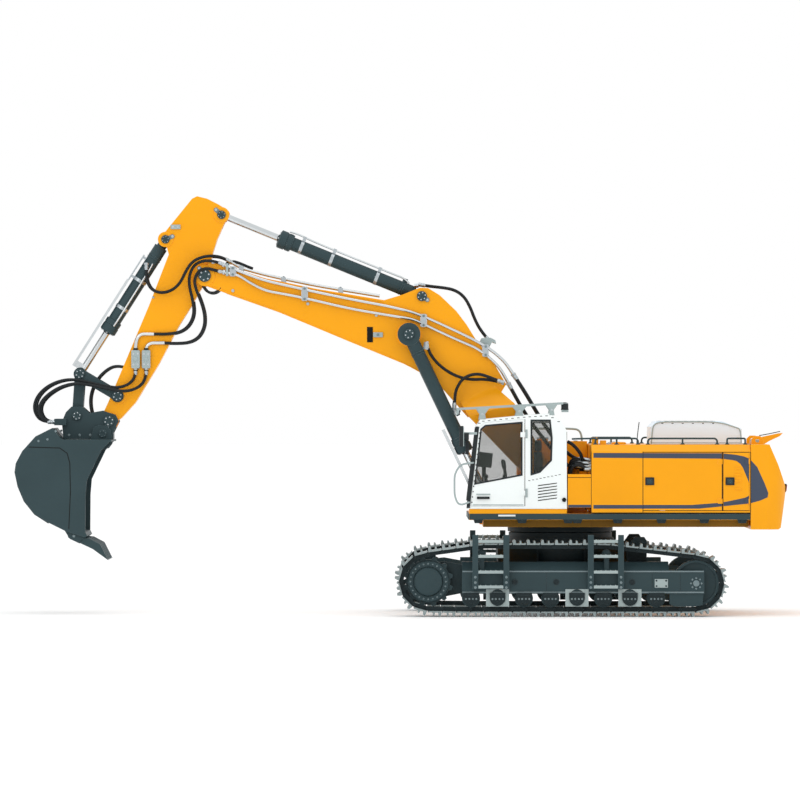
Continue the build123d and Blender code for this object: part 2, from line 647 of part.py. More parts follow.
def build_house():
    save("house_frame", house_frame())
    save("house_pins", *house_pins())
    save("body_panels", body_panels())
    save("side_panels", *side_box(), fixed_left_panel())
    save("counterweight", counterweight())
    save("engine_hood", engine_hood())
    save("deck_handrails", *deck_handrails())
    house_inside()
    save("cab_shell", cab_shell())
    save("cab_glass", *cab_glass())
    save("cab_door", cab_door())
    save("cab_door_glass", slab(DOOR_PANE, CAB_LEFT + 0.5, CAB_LEFT + 1.5))
    save("operator_seat", operator_seat())
    save("cab_console", *cab_console())
    save("roof_guard", roof_guard())
    save("cab_rails", *cab_rails())
    save("left_service_door", service_door(DOOR_SPLIT_A, DOOR_SPLIT_B - 0.2, -1))
    save("left_rear_door", service_door(REAR_DOOR_FRONT, PANEL_REAR - 1.6, -1))
    save("right_service_door", service_door(DOOR_SPLIT_A, DOOR_SPLIT_B, 1))


# ---- boom ----
BOOM_TOP = [(-430, 432), (-361.6, 410.2 + 1), (-300.4, 398.5), (-216.5, 384.5)]
BOOM_HUMP = [(-193.1, 391.5), (-172.7, 399.8), (-162.4, 399.3), (-148.2, 390.5), (-127.9, 371.1), (-115.6, 354.9)]
BOOM_BACK = [(-101.4, 332.1), (-87.1, 316.1), (-66.7, 281.4)]
BOOM_LOW = [(-113.5, 240.6), (-144.2, 275.3), (-167.3, 294), (-184.5, 303.2), (-259.5, 333.7), (-345, 369.5)]


def boom_shell():
    """Welded box: two side plates that run up as ears at the tip and at the hump, and a flared foot."""
    side = [(-446, 406)] + BOOM_TOP + BOOM_HUMP + BOOM_BACK + [(-81, 258)] + BOOM_LOW
    body = None
    for y_low, y_high in ((-BOOM_HALF, -BOOM_HALF + BOOM_PLATE), (BOOM_HALF - BOOM_PLATE, BOOM_HALF)):
        plate = slab(side, y_low, y_high) + drum(STICK_PIVOT, 12, y_low, y_high)
        body = plate if body is None else body + plate
    top = [(-414, 427.5)] + BOOM_TOP[1:] + [(-196, 379.5), (-160, 366), (-140, 371), (-127.9, 369), (-115.6, 354.9)]
    low = BOOM_LOW + [(-410, 392.5)]
    core = top + BOOM_BACK + [(-81, 258)] + low
    hollow = [(-398, 417), (-361.6, 406), (-300, 393.5), (-205, 377), (-160, 360), (-128, 362), (-104, 330), (-80, 285)]
    hollow += [(-98, 258), (-116, 250), (-145, 281), (-168, 299.5), (-186, 308.5), (-260, 339), (-345, 375), (-396, 394)]
    inside = BOOM_HALF - BOOM_PLATE + 0.5
    body += slab(core, -inside, inside) - slab(hollow, -inside - 1, inside + 1)
    body += boom_foot()
    body += drum(LIFT_HEAD, 13, -24, 24)
    body -= drum(LIFT_HEAD, PIN, -50, 50)
    body -= drum(STICK_PIVOT, PIN, -50, 50)
    body -= drum(STICK_BASE, SMALL_PIN, -50, 50)
    return body - drum(BOOM_FOOT, PIN + ARM_FIT, -50, 50)


def boom_foot():
    """Flare from the box's width to the foot, with the foot's bearing tube."""
    upper = [(-124, -22, 261), (-124, 22, 261), (-81, 22, 279), (-81, -22, 279)]
    lower = [(-112, -40, 241), (-112, 40, 241), (-57, 40, 258), (-57, -40, 258)]
    flare = loft([make_face(Polyline(upper, close=True)), make_face(Polyline(lower, close=True))], ruled=True)
    leg = [(-112, 241), (-22.5, 148), (-13.5, 143.7), (-4, 148), (-1.5, 160), (-57, 258)]
    foot = slab(leg, -FOOT_HALF, FOOT_HALF) + drum(BOOM_FOOT, 12.5, -FOOT_HALF, FOOT_HALF)
    pocket = [(-97, 236), (-40, 176), (-24, 172), (-62, 246)]
    return flare + (foot - slab(pocket, -FOOT_HALF + 4, FOOT_HALF - 4))


def boom_pins():
    """Stick pivot pin, lift cylinder cross shaft, and stub pins beside the stick cylinder's base eye."""
    pins = [drum(STICK_PIVOT, PIN, -24.5, 24.5) + drum(STICK_PIVOT, 7.5, -24.5, -22) + drum(STICK_PIVOT, 7.5, 22, 24.5)]
    pins.append(drum(LIFT_HEAD, PIN, -45.5, 45.5))
    for side in (-1, 1):
        stub = drum(STICK_BASE, SMALL_PIN, *sorted((side * 9.2, side * 24.0)))
        pins.append(stub + drum(STICK_BASE, 6.0, *sorted((side * 22.0, side * 24.0))))
    return pins


def boom_pipes():
    """Hard oil lines along both sides and over the back of the boom, with their clamps."""
    upper = [(-412, -25.2, 427.5), (-398, -25.2, 421.5), (-367, -25.2, 409.4), (-320, -25.2, 398.6)]
    upper += [(-257, -25.2, 385.3), (-210, -25.2, 376.7), (-178, -25.2, 368.9), (-150, -25.2, 356.5)]
    upper += [(-124, -25.2, 344.5), (-102, -25.2, 333.5), (-84, -26, 323), (-68, -28.5, 309), (-58, -30.5, 294)]
    lower = [(-412, -25.2, 418.5), (-396, -25.2, 415.5), (-379, -25.2, 404.5), (-362, -25.2, 396)]
    lower += [(-320, -25.2, 388.4), (-257, -25.2, 373.6), (-210, -25.2, 365.7), (-180, -25.2, 361)]
    lower += [(-160, -25.2, 351), (-131, -25.2, 337.5), (-104, -25.2, 326), (-88, -25.4, 315), (-73, -26, 300)]
    lower += [(-64, -26.8, 283)]
    pipes = [tube(upper, PIPE_R), tube(lower, PIPE_R)]
    pipes += [mirror(pipe, about=Plane.XZ) for pipe in pipes]
    for y in (-14.0, -6.0, 6.0, 14.0):
        run = [(-404, y, 431), (-392, y, 424), (-361.6, y, 415.5), (-300.4, y, 402.6), (-222, y, 389.8)]
        pipes.append(tube(run, PIPE_R))
    return pipes


def boom_clamps():
    clamps = []
    for x, z_low, z_high in ((-402, 414.5, 425), (-314, 384.5, 400), (-168, 352.5, 366.5), (-92, 316, 329)):
        for side in (-1, 1):
            y = sorted((side * BOOM_HALF, side * 23.45))
            clamps.append(block(x - 4, x + 4, *y, z_low, z_high))
    return clamps


# ---- cylinders ----
def boom_cylinder_barrels():
    """Barrels hang from the boom's cross shaft, with the glands at their lower ends."""
    barrels = []
    for side in (-1, 1):
        y = side * LIFT_Y
        head, foot = (LIFT_HEAD[0], y, LIFT_HEAD[1]), (LIFT_FOOT[0], y, LIFT_FOOT[1])
        length = hypot(foot[0] - head[0], foot[2] - head[2])
        body = bar(head, between(head, foot, 150 / length), BARREL_R)
        body += bar(between(head, foot, 140 / length), between(head, foot, 158 / length), BARREL_R + 1.4)
        body += drum(LIFT_HEAD, 14, y - 8.8, y + 8.8)
        body -= drum(LIFT_HEAD, PIN + ARM_FIT, y - 20, y + 20)
        body -= bar(between(head, foot, 30 / length), between(head, foot, 170 / length), ROD_R + ARM_FIT)
        barrels.append(body)
    return barrels


def boom_cylinder_rods():
    """Rods with their foot eyes and the rod guards."""
    rods = []
    for side in (-1, 1):
        y = side * LIFT_Y
        head, foot = (LIFT_HEAD[0], y, LIFT_HEAD[1]), (LIFT_FOOT[0], y, LIFT_FOOT[1])
        length = hypot(foot[0] - head[0], foot[2] - head[2])
        body = bar(between(head, foot, 80 / length), foot, ROD_R)
        body += drum(LIFT_FOOT, 9.0, y - 6, y + 6)
        guard = strip(LIFT_HEAD, LIFT_FOOT, -14.6, -11.2)
        low, high = along(LIFT_HEAD, LIFT_FOOT, 124, -14.6), along(LIFT_HEAD, LIFT_FOOT, 124, -11.2)
        outline = [low, high, guard[2], guard[1]]
        body += slab(outline, y - 5, y + 5)
        brace = [along(LIFT_HEAD, LIFT_FOOT, length - 14, -14.6), along(LIFT_HEAD, LIFT_FOOT, length, -14.6)]
        brace += [along(LIFT_HEAD, LIFT_FOOT, length, 0), along(LIFT_HEAD, LIFT_FOOT, length - 14, 0)]
        body += slab(brace, y - 4, y + 4)
        rods.append(body)
    return rods


def stick_cylinder_barrel():
    """Open at the boom hump: its base eye has no through pin."""
    base, rod = (STICK_BASE[0], 0, STICK_BASE[1]), (STICK_ROD[0], 0, STICK_ROD[1])
    length = hypot(rod[0] - base[0], rod[2] - base[2])
    body = bar(between(base, rod, 10 / length), between(base, rod, 176 / length), BARREL_R)
    body += bar(base, between(base, rod, 12 / length), 6.0)
    body += bar(between(base, rod, 172 / length), between(base, rod, 188 / length), 10.4)
    body += drum(STICK_BASE, 8.6, -7, 7)
    port = along(STICK_BASE, STICK_ROD, 26, 0)
    body += bar((port[0], 0, port[1]), (port[0] + 4.6, 0, port[1] + 12), 3)
    return body - bar(between(base, rod, 30 / length), between(base, rod, 200 / length), ROD_R + ARM_FIT)


def stick_cylinder_rod():
    base, rod = (STICK_BASE[0], 0, STICK_BASE[1]), (STICK_ROD[0], 0, STICK_ROD[1])
    length = hypot(rod[0] - base[0], rod[2] - base[2])
    body = bar(between(base, rod, 100 / length), rod, ROD_R) + drum(STICK_ROD, 8.0, -6.8, 6.8)
    return body - drum(STICK_ROD, SMALL_PIN + ARM_FIT, -9, 9)


def bucket_cylinder_barrel():
    base, rod = (CURL_BASE[0], 0, CURL_BASE[1]), (ROCKER_TIP[0], 0, ROCKER_TIP[1])
    length = hypot(rod[0] - base[0], rod[2] - base[2])
    body = bar(between(base, rod, 11 / length), between(base, rod, 122 / length), BARREL_R)
    body += bar(base, between(base, rod, 12 / length), 6.0)
    body += bar(between(base, rod, 118 / length), between(base, rod, 133 / length), 9.6)
    body += drum(CURL_BASE, 8.0, -6.8, 6.8)
    body -= drum(CURL_BASE, SMALL_PIN + ARM_FIT, -9, 9)
    return body - bar(between(base, rod, 24 / length), between(base, rod, 140 / length), ROD_R + ARM_FIT)


def bucket_cylinder_rod():
    """Open at the rocker: its eye has its own short pin. It carries the guard beside the barrel."""
    base, rod = (CURL_BASE[0], 0, CURL_BASE[1]), (ROCKER_TIP[0], 0, ROCKER_TIP[1])
    length = hypot(rod[0] - base[0], rod[2] - base[2])
    body = bar(between(base, rod, 60 / length), rod, ROD_R) + drum(ROCKER_TIP, 7.6, -6.6, 6.6)
    guard = [along(CURL_BASE, ROCKER_TIP, distance, side)
             for distance, side in ((66, -11.4), (66, -14.4), (length - 4, -14.4), (length - 4, -11.4))]
    body += slab(guard, -6, 6)
    brace = [along(CURL_BASE, ROCKER_TIP, distance, side)
             for distance, side in ((length - 12, -14.4), (length - 4, -14.4), (length - 4, -2), (length - 12, -2))]
    return body + slab(brace, -4, 4)


# ---- stick and bucket ----
STICK_OUT = [(-452.3, 509.2), (-446.1, 512.2), (-433.8, 509.2), (-419.6, 502), (-410.8, 496.3), (-407.7, 488.8)]
STICK_OUT += [(-413.5, 477.5), (-421.6, 459.2), (-426.8, 442.8), (-431.1, 424.3), (-439.1, 402.2), (-454.2, 375.5)]
STICK_OUT += [(-469.6, 351), (-493, 306.3), (-521.5, 259.3), (-538.9, 240), (-554, 230), (-560.9, 247.2)]
STICK_OUT += [(-555.2, 259.3), (-536.9, 302.1), (-505.3, 377.6), (-480.9, 440.8), (-487.9, 465.3), (-475.6, 480.6)]


def stick_shell():
    body = slab(STICK_OUT, -STICK_HALF, STICK_HALF)
    hollow = [(-445, 470), (-436, 450), (-446, 402), (-475, 352), (-520, 272), (-541, 262), (-498, 370), (-470, 440)]
    body -= slab(hollow, -STICK_HALF + 3, STICK_HALF - 3)
    body += drum(STICK_PIVOT, 13, -17.8, 17.8)
    body += drum(CURL_BASE, 8.5, -STICK_HALF, STICK_HALF)
    body += drum(BUCKET_PIVOT, 10, -STICK_HALF, STICK_HALF)
    body += drum(ROCKER_PIVOT, 9, -STICK_HALF, STICK_HALF)
    body += drum(STICK_ROD, 9, -STICK_HALF, STICK_HALF)
    rod_slot = drum(STICK_ROD, 11.5, -8, 8) + slab([(-430, 500), (-400, 520), (-396, 478), (-424, 470)], -8, 8)
    lug_slot = drum(CURL_BASE, 11.5, -9.4, 9.4)
    lug_slot += slab([(-478, 470), (-500, 470), (-520, 425), (-490, 405), (-477, 440)], -9.4, 9.4)
    body -= rod_slot + lug_slot
    body -= drum(STICK_PIVOT, PIN + ARM_FIT, -30, 30)
    for centre in (STICK_ROD, CURL_BASE, ROCKER_PIVOT):
        body -= drum(centre, SMALL_PIN, -30, 30)
    return body - drum(BUCKET_PIVOT, PIN - 1 + ARM_FIT, -30, 30)


def stick_pins():
    pins = []
    for centre, half in ((STICK_ROD, 17.2), (CURL_BASE, 17.2), (ROCKER_PIVOT, 21.6)):
        pins.append(drum(centre, SMALL_PIN, -half, half))
    return pins


def stick_valves():
    """Two check valve blocks on each side of the stick, with their elbows."""
    parts = []
    for side in (-1, 1):
        y = sorted((side * STICK_HALF, side * (STICK_HALF + 5)))
        for x in (-521.5, -508.5):
            parts.append(block(x - 5, x + 5, *y, 301, 323))
    return parts


def rocker_arms():
    """Two arms outside the stick, joined by stub pins that carry the link."""
    arms = []
    for side in (-1, 1):
        y = sorted((side * 16.0, side * 20.0))
        body = slab(strip(ROCKER_PIVOT, ROCKER_TIP, -6.2, 6.2), *y)
        body += drum(ROCKER_PIVOT, 7.6, *y) + drum(ROCKER_TIP, 7.6, *y)
        body -= drum(ROCKER_PIVOT, SMALL_PIN + ARM_FIT, y[0] - 1, y[1] + 1)
        body += drum(ROCKER_TIP, SMALL_PIN, *sorted((side * 7.6, side * 21.4)))
        arms.append(body)
    return arms


def bucket_link():
    """H-shaped link; the rod eye turns between its upper plates."""
    middle, foot = between(ROCKER_TIP, LINK_FOOT, 0.5), LINK_FOOT
    body = slab(strip(middle, foot, -6.5, 6.5), -13, 13) + drum(LINK_FOOT, 8.2, -13, 13)
    for side in (-1, 1):
        y = sorted((side * 7.8, side * 13.0))
        body += slab(strip(ROCKER_TIP, foot, -6.5, 6.5), *y) + drum(ROCKER_TIP, 8.0, *y)
    body -= drum(ROCKER_TIP, SMALL_PIN + ARM_FIT, -20, 20)
    return body - drum(LINK_FOOT, SMALL_PIN, -20, -9) - drum(LINK_FOOT, SMALL_PIN, 9, 20)


def quick_coupler():
    """Coupler between the stick and the bucket ears, with its pivot pin and link stubs."""
    ears = [(-607, 247), (-600, 254), (-587, 254), (-578, 246), (-562, 249), (-546, 244), (-542, 236), (-549, 222)]
    ears += [(-549, 214), (-610, 214), (-612, 235)]
    body = slab([(-610, 222), (-549, 222), (-549, 214), (-610, 214)], -20, 20)
    for side in (-1, 1):
        y = sorted((side * 16.0, side * 20.0))
        body += slab(ears, *y)
        body += drum(LINK_FOOT, SMALL_PIN, *sorted((side * 13.6, side * 21.4)))
        body += block(PORT_FACE + 0.1, -606, *sorted((side * 18, side * 29)), PORT_Z - 4, PORT_Z + 4)
    return body + drum(BUCKET_PIVOT, PIN - 1, -21.4, 21.4)


BUCKET_BACK = [(-549, 213.6), (-610, 213.6), (-621.4, 227.8), (-641.7, 217.6), (-657.4, 200.2), (-665.3, 184.6)]
BUCKET_BACK += [(-666.7, 173.7), (-663, 156.3), (-655.8, 139.1), (-643.3, 123.4), (-626.1, 112.4), (-604.1, 101.5)]


def bucket_shell():
    """Curved skin between two side plates, open towards the machine."""
    skin = BUCKET_BACK + [(-603, 103.6), (-625, 114.8), (-641.6, 125.2), (-653.6, 140.2), (-660.6, 156.8)]
    skin += [(-664.2, 173.7), (-662.9, 184), (-655.4, 198.8), (-640.2, 215.4), (-621, 224.5), (-609, 211.2), (-549, 211.2)]
    body = slab(skin, -BUCKET_HALF, BUCKET_HALF)
    cheek = BUCKET_BACK + [(-581, 101), (-580.6, 145.4), (-579, 164.2), (-561.7, 200.2)]
    for side in (-1, 1):
        body += slab(cheek, *sorted((side * (BUCKET_HALF - 3), side * BUCKET_HALF)))
    lip = [(-604.1, 101.5), (-581, 94.2), (-578.6, 96.4), (-581, 101), (-603, 104.4)]
    return body + slab(lip, -BUCKET_HALF, BUCKET_HALF)


def bucket_teeth():
    teeth = []
    profile = [(-604, 100.9), (-602, 94), (-572, 80), (-553.1, 66.2), (-563, 86), (-576, 93)]
    profile += [(-581, 93.5)]
    for k in range(5):
        y = -BUCKET_HALF + 11 + 27.5 * k
        teeth.append(slab(profile, y - 6, y + 6))
    return teeth


# ---- hoses ----
def boom_hoses():
    """Hoses from the house to the boom's back, to the boom cylinders and to the stick cylinder's base."""
    routes = []
    for side in (-1, 1):
        upper = [(-58, 30.5, 294), (-50, 32.1, 282), (-40, 33, 266), (-29, 33, 247), (-18, 33, 229.5), (-6, 33, 212)]
        upper += [(8, 33, 197), (22, 33, 188), (PANEL_FRONT, 33, 188)]
        lower = [(-64, 26.8, 283), (-57.25, 27.4, 270.25), (-47, 27.4, 252), (-34, 27.2, 232), (-20, 27, 213.5)]
        lower += [(-7, 27, 197.5), (6, 27, 183.5), (20, 27, 176), (PANEL_FRONT, 27, 176)]
        barrel_head = [(-165, 34.5, 333), (-162, 34.5, 321), (-151, 33, 306), (-133, 31, 293), (-112, 30.2, 286.5)]
        barrel_head += [(-90, 31, 288), (-70, 32, 283)]
        barrel_gland = [(-130.3, 34.5, 250.5), (-130.1, 34.5, 262), (-128.4, 34.6, 276), (-119, 35, 290)]
        barrel_gland += [(-102, 35.2, 295), (-85, 36, 289), (-70, 36.5, 283)]
        stick_base = [(-174, 5, 404), (-162, 5, 402), (-147, 5, 400.5), (-131, 5, 398), (-118.5, 5.4, 390)]
        stick_base += [(-110.5, 6, 376), (-105, 6.6, 361), (-97, 7, 346), (-86, 7, 333.5)]
        for route in (upper, lower, barrel_head, barrel_gland, stick_base):
            routes.append([(x, side * y, z) for x, y, z in route])
    return [tube(route, HOSE_R) for route in routes]


def stick_hoses():
    """Hoses that bridge the boom tip and the stick: to the bucket cylinder, and to the two valve blocks."""
    hoses = []
    for side in (-1, 1):
        cylinder = [(-404.1, 14, 431.06), (-412.5, 14, 435.96), (-424, 19.5, 439), (-438, 26, 438), (-451.5, 30.5, 432)]
        cylinder += [(-460, 30.5, 419), (-466, 28, 406), (-475.5, 24, 397), (-488, 20.5, 393), (-500.5, 17.5, 396)]
        cylinder += [(-507.5, 14, 406), (-508.5, 11.5, 418), (-508.5, 10.8, 430)]
        front = [(-412.1, 25.2, 427.54), (-421, 25.2, 431.36), (-436, 26.5, 433.5), (-449, 27, 428.5), (-455.5, 26, 415)]
        front += [(-455.5, 24.5, 401), (-451, 22, 384), (-449.5, 20, 367), (-456, 18.4, 352.5), (-468, 17.6, 344.5)]
        front += [(-484, 17.5, 342.7), (-503, 17.5, 343.1), (-521.5, 17.5, 342.6), (-521.5, 17.5, 323)]
        rear = [(-412.1, 25.2, 418.52), (-422, 25.2, 420.375), (-434, 26.8, 424), (-444.5, 27, 420), (-449.5, 26.5, 409)]
        rear += [(-447, 25, 397), (-441, 23, 383), (-436.5, 21.3, 367), (-436.8, 20, 352), (-443.5, 18.6, 339)]
        rear += [(-455, 17.8, 332.5), (-471, 17.5, 331.3), (-489, 17.5, 332), (-508.5, 17.5, 332), (-508.5, 17.5, 323)]
        hoses += [tube([(x, side * y, z) for x, y, z in route], HOSE_R) for route in (cylinder, front, rear)]
    return hoses


def coupler_hoses():
    """Hoses from the valve blocks and the stick to the quick coupler."""
    hoses = []
    for side in (-1, 1):
        front = [(-521.5, 17.5, 301), (-521.5, 17.5, 291.5), (-528, 21, 282), (-542, 24.8, 276.5), (-560, 26.6, 279)]
        front += [(-580, 27.5, 284), (-601, 27.5, 288), (-621, 27, 283.5), (-637, 26, 273), (-645.5, 25, 259)]
        front += [(-645, 24, 246), (-636, 22.2, PORT_Z), (PORT_FACE, 22.2, PORT_Z)]
        rear = [(-508.5, 17.5, 301), (-508.5, 17.5, 289), (-516, 21.5, 278), (-532, 28, 272), (-551, 31, 275)]
        rear += [(-572, 31.8, 279.5), (-593, 32, 283), (-613, 31.4, 278.5), (-629, 30.4, 268.5), (-638.5, 29.2, 257.5)]
        rear += [(-639.5, 27.8, 246), (-632, 26.4, PORT_Z), (PORT_FACE, 26.4, PORT_Z)]
        inner = [(-537, 11, 302.5), (-546.5, 11, 304.6), (-559, 11, 298), (-570, 11, 286), (-576.5, 11, 270.5)]
        inner += [(-577.5, 11, 256), (-574, 11, 240), (-574, 11, 222.1)]
        hoses += [tube([(x, side * y, z) for x, y, z in route], HOSE_R) for route in (front, rear, inner)]
    return hoses


def build_arm():
    save("boom_shell", boom_shell())
    save("boom_pins", *boom_pins())
    save("boom_pipes", *boom_pipes(), *boom_clamps())
    save("boom_cylinder_barrels", *boom_cylinder_barrels())
    save("boom_cylinder_rods", *boom_cylinder_rods())
    save("stick_shell", stick_shell())
    save("stick_pins", *stick_pins())
    save("stick_valves", *stick_valves())
    save("stick_cylinder_barrel", stick_cylinder_barrel())
    save("stick_cylinder_rod", stick_cylinder_rod())
    save("bucket_cylinder_barrel", bucket_cylinder_barrel())
    save("bucket_cylinder_rod", bucket_cylinder_rod())
    save("rocker_arms", *rocker_arms())
    save("bucket_link", bucket_link())
    save("quick_coupler", quick_coupler())
    save("bucket_shell", bucket_shell())
    save("bucket_teeth", *bucket_teeth())
    save("boom_hoses", *boom_hoses())
    save("stick_hoses", *stick_hoses())
    save("coupler_hoses", *coupler_hoses())


os.makedirs("parts", exist_ok=True)
build_undercarriage()
build_house()
build_arm()
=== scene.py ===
import json
import math

import bmesh
import bpy
from mathutils import Matrix, Vector


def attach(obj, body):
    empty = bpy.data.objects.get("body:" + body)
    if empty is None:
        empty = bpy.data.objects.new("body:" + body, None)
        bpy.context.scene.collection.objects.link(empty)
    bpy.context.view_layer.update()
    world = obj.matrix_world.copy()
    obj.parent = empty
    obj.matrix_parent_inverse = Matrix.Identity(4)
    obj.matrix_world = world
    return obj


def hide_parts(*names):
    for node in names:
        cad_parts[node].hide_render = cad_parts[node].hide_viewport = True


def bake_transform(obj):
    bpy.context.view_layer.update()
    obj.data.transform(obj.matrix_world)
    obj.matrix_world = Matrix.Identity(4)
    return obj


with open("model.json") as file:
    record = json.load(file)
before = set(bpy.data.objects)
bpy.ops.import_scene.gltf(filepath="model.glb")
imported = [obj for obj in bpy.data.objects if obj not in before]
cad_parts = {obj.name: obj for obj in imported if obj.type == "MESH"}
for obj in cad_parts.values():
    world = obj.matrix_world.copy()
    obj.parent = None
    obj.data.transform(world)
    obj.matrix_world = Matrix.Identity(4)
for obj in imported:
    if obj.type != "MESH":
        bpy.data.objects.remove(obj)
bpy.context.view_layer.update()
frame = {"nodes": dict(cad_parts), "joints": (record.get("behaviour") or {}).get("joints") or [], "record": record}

MM = 0.001  # lengths are in millimetres unless a comment says otherwise: x to the rear, y to the right, z up
NODES = frame["nodes"]
PLACE = {joint["name"]: Vector(joint["pos_m"]) for joint in frame["joints"] if joint.get("pos_m")}
JOINTS = {name: (spot.x / MM, spot.z / MM) for name, spot in PLACE.items()}
WELD_DISTANCE = 0.000001


# ---- materials ----
def shader_nodes(name):
    """New material with its Principled shader, and a function that adds nodes with their inputs."""
    material = bpy.data.materials.new(name)
    material.use_nodes = True
    tree = material.node_tree
    shader = tree.nodes["Principled BSDF"]

    def add(kind, **inputs):
        node = tree.nodes.new(kind)
        for key, value in inputs.items():
            socket = node.inputs[key.replace("_", " ")]
            if isinstance(value, bpy.types.NodeSocket):
                tree.links.new(value, socket)
            else:
                socket.default_value = value
        return node

    return material, tree, shader, add


def linear(red, green, blue):
    """Linear colour of an 8-bit display colour."""
    values = [channel / 255 for channel in (red, green, blue)]
    return [v / 12.92 if v <= 0.04045 else ((v + 0.055) / 1.055) ** 2.4 for v in values] + [1.0]


def shaded(colour, factor):
    return [channel * factor for channel in colour[:3]] + [1.0]


def ramp(add, source, low, high, low_value, high_value):
    """Maps a range of a noise value to another range."""
    node = add("ShaderNodeMapRange", Value=source, From_Min=low, From_Max=high, To_Min=low_value,
               To_Max=high_value)
    return node.outputs["Result"]


def mixed(tree, add, factor, colour_a, colour_b):
    node = tree.nodes.new("ShaderNodeMix")
    node.data_type = "RGBA"
    tree.links.new(factor, node.inputs["Factor"])
    for socket, value in ((node.inputs[6], colour_a), (node.inputs[7], colour_b)):
        if isinstance(value, bpy.types.NodeSocket):
            tree.links.new(value, socket)
        else:
            socket.default_value = value
    return node.outputs[2]


def edge_wear_and_highlight_mask(tree, add, radius):
    """Mask that is 1 on convex edges: the shading normal against one rounded off over radius. It lays the lighter
    edge colour: a painted highlight on paint and plastic, bright wear on steel.
    """
    geometry = add("ShaderNodeNewGeometry")
    rounded = add("ShaderNodeBevel", Radius=radius)
    rounded.samples = 3
    dot = add("ShaderNodeVectorMath")
    dot.operation = "DOT_PRODUCT"
    tree.links.new(geometry.outputs["Normal"], dot.inputs[0])
    tree.links.new(rounded.outputs["Normal"], dot.inputs[1])
    return ramp(add, dot.outputs["Value"], 0.97, 0.75, 0.0, 1.0)


def finish_material(name, colour, roughness, metallic=0.0, grain=900.0, depth=0.00006, spread=0.06,
                    edge=None, coat=0.0, streak=0.0):
    """Paint, steel, rubber or plastic: uneven colour, roughness and fine relief, with lighter edges in patches: a
    painted highlight on paint and plastic, bright wear on steel.
    """
    material, tree, shader, add = shader_nodes(name)
    place = add("ShaderNodeTexCoord").outputs["Object"]
    cloud = add("ShaderNodeTexNoise", Vector=place, Scale=14.0, Detail=5.0, Roughness=0.6)
    fine = add("ShaderNodeTexNoise", Vector=place, Scale=grain, Detail=3.0)
    tint = ramp(add, cloud.outputs["Fac"], 0.3, 0.7, 0.0, 1.0)
    base = mixed(tree, add, tint, shaded(colour, 1 - spread), shaded(colour, 1 + spread))
    if streak:
        scale = add("ShaderNodeMapping", Vector=place, Scale=(60, 60, 9))
        runs = add("ShaderNodeTexNoise", Vector=scale.outputs["Vector"], Scale=3.0, Detail=4.0)
        dirt = ramp(add, runs.outputs["Fac"], 0.56, 0.78, 0.0, streak)
        base = mixed(tree, add, dirt, base, shaded(colour, 0.45))
    # lighter edges: a painted highlight on paint and plastic, bright wear on steel, broken into patches by noise
    if edge:
        wear_and_highlight_patches = add("ShaderNodeTexNoise", Vector=place, Scale=160.0, Detail=4.0)
        patchy = add("ShaderNodeMath")
        patchy.operation = "MULTIPLY"
        tree.links.new(edge_wear_and_highlight_mask(tree, add, 0.0007), patchy.inputs[0])
        tree.links.new(ramp(add, wear_and_highlight_patches.outputs["Fac"], 0.35, 0.65, 0.15, 0.75), patchy.inputs[1])
        base = mixed(tree, add, patchy.outputs["Value"], base, edge)
    tree.links.new(base, shader.inputs["Base Color"])
    rough = ramp(add, fine.outputs["Fac"], 0.3, 0.7, roughness - 0.06, roughness + 0.06)
    tree.links.new(rough, shader.inputs["Roughness"])
    shader.inputs["Metallic"].default_value = metallic
    shader.inputs["Coat Weight"].default_value = coat
    shader.inputs["Coat Roughness"].default_value = 0.12
    if not metallic:
        shader.inputs["Specular IOR Level"].default_value = 0.2
    relief = add("ShaderNodeBump", Height=fine.outputs["Fac"], Distance=depth, Strength=0.6)
    tree.links.new(relief.outputs["Normal"], shader.inputs["Normal"])
    return material


def glass_material(name, colour, share):
    """Tinted pane: mostly clear, with a glossy face and faint smears."""
    material, tree, shader, add = shader_nodes(name)
    place = add("ShaderNodeTexCoord").outputs["Object"]
    smear = add("ShaderNodeTexNoise", Vector=place, Scale=40.0, Detail=4.0)
    tree.links.new(ramp(add, smear.outputs["Fac"], 0.35, 0.7, 0.03, 0.12), shader.inputs["Roughness"])
    tint = mixed(tree, add, smear.outputs["Fac"], colour, shaded(colour, 1.3))
    tree.links.new(tint, shader.inputs["Base Color"])
    shader.inputs["Alpha"].default_value = share
    return material


YELLOW = linear(242, 162, 0)
SLATE = linear(48, 66, 70)
GREY = linear(158, 172, 172)
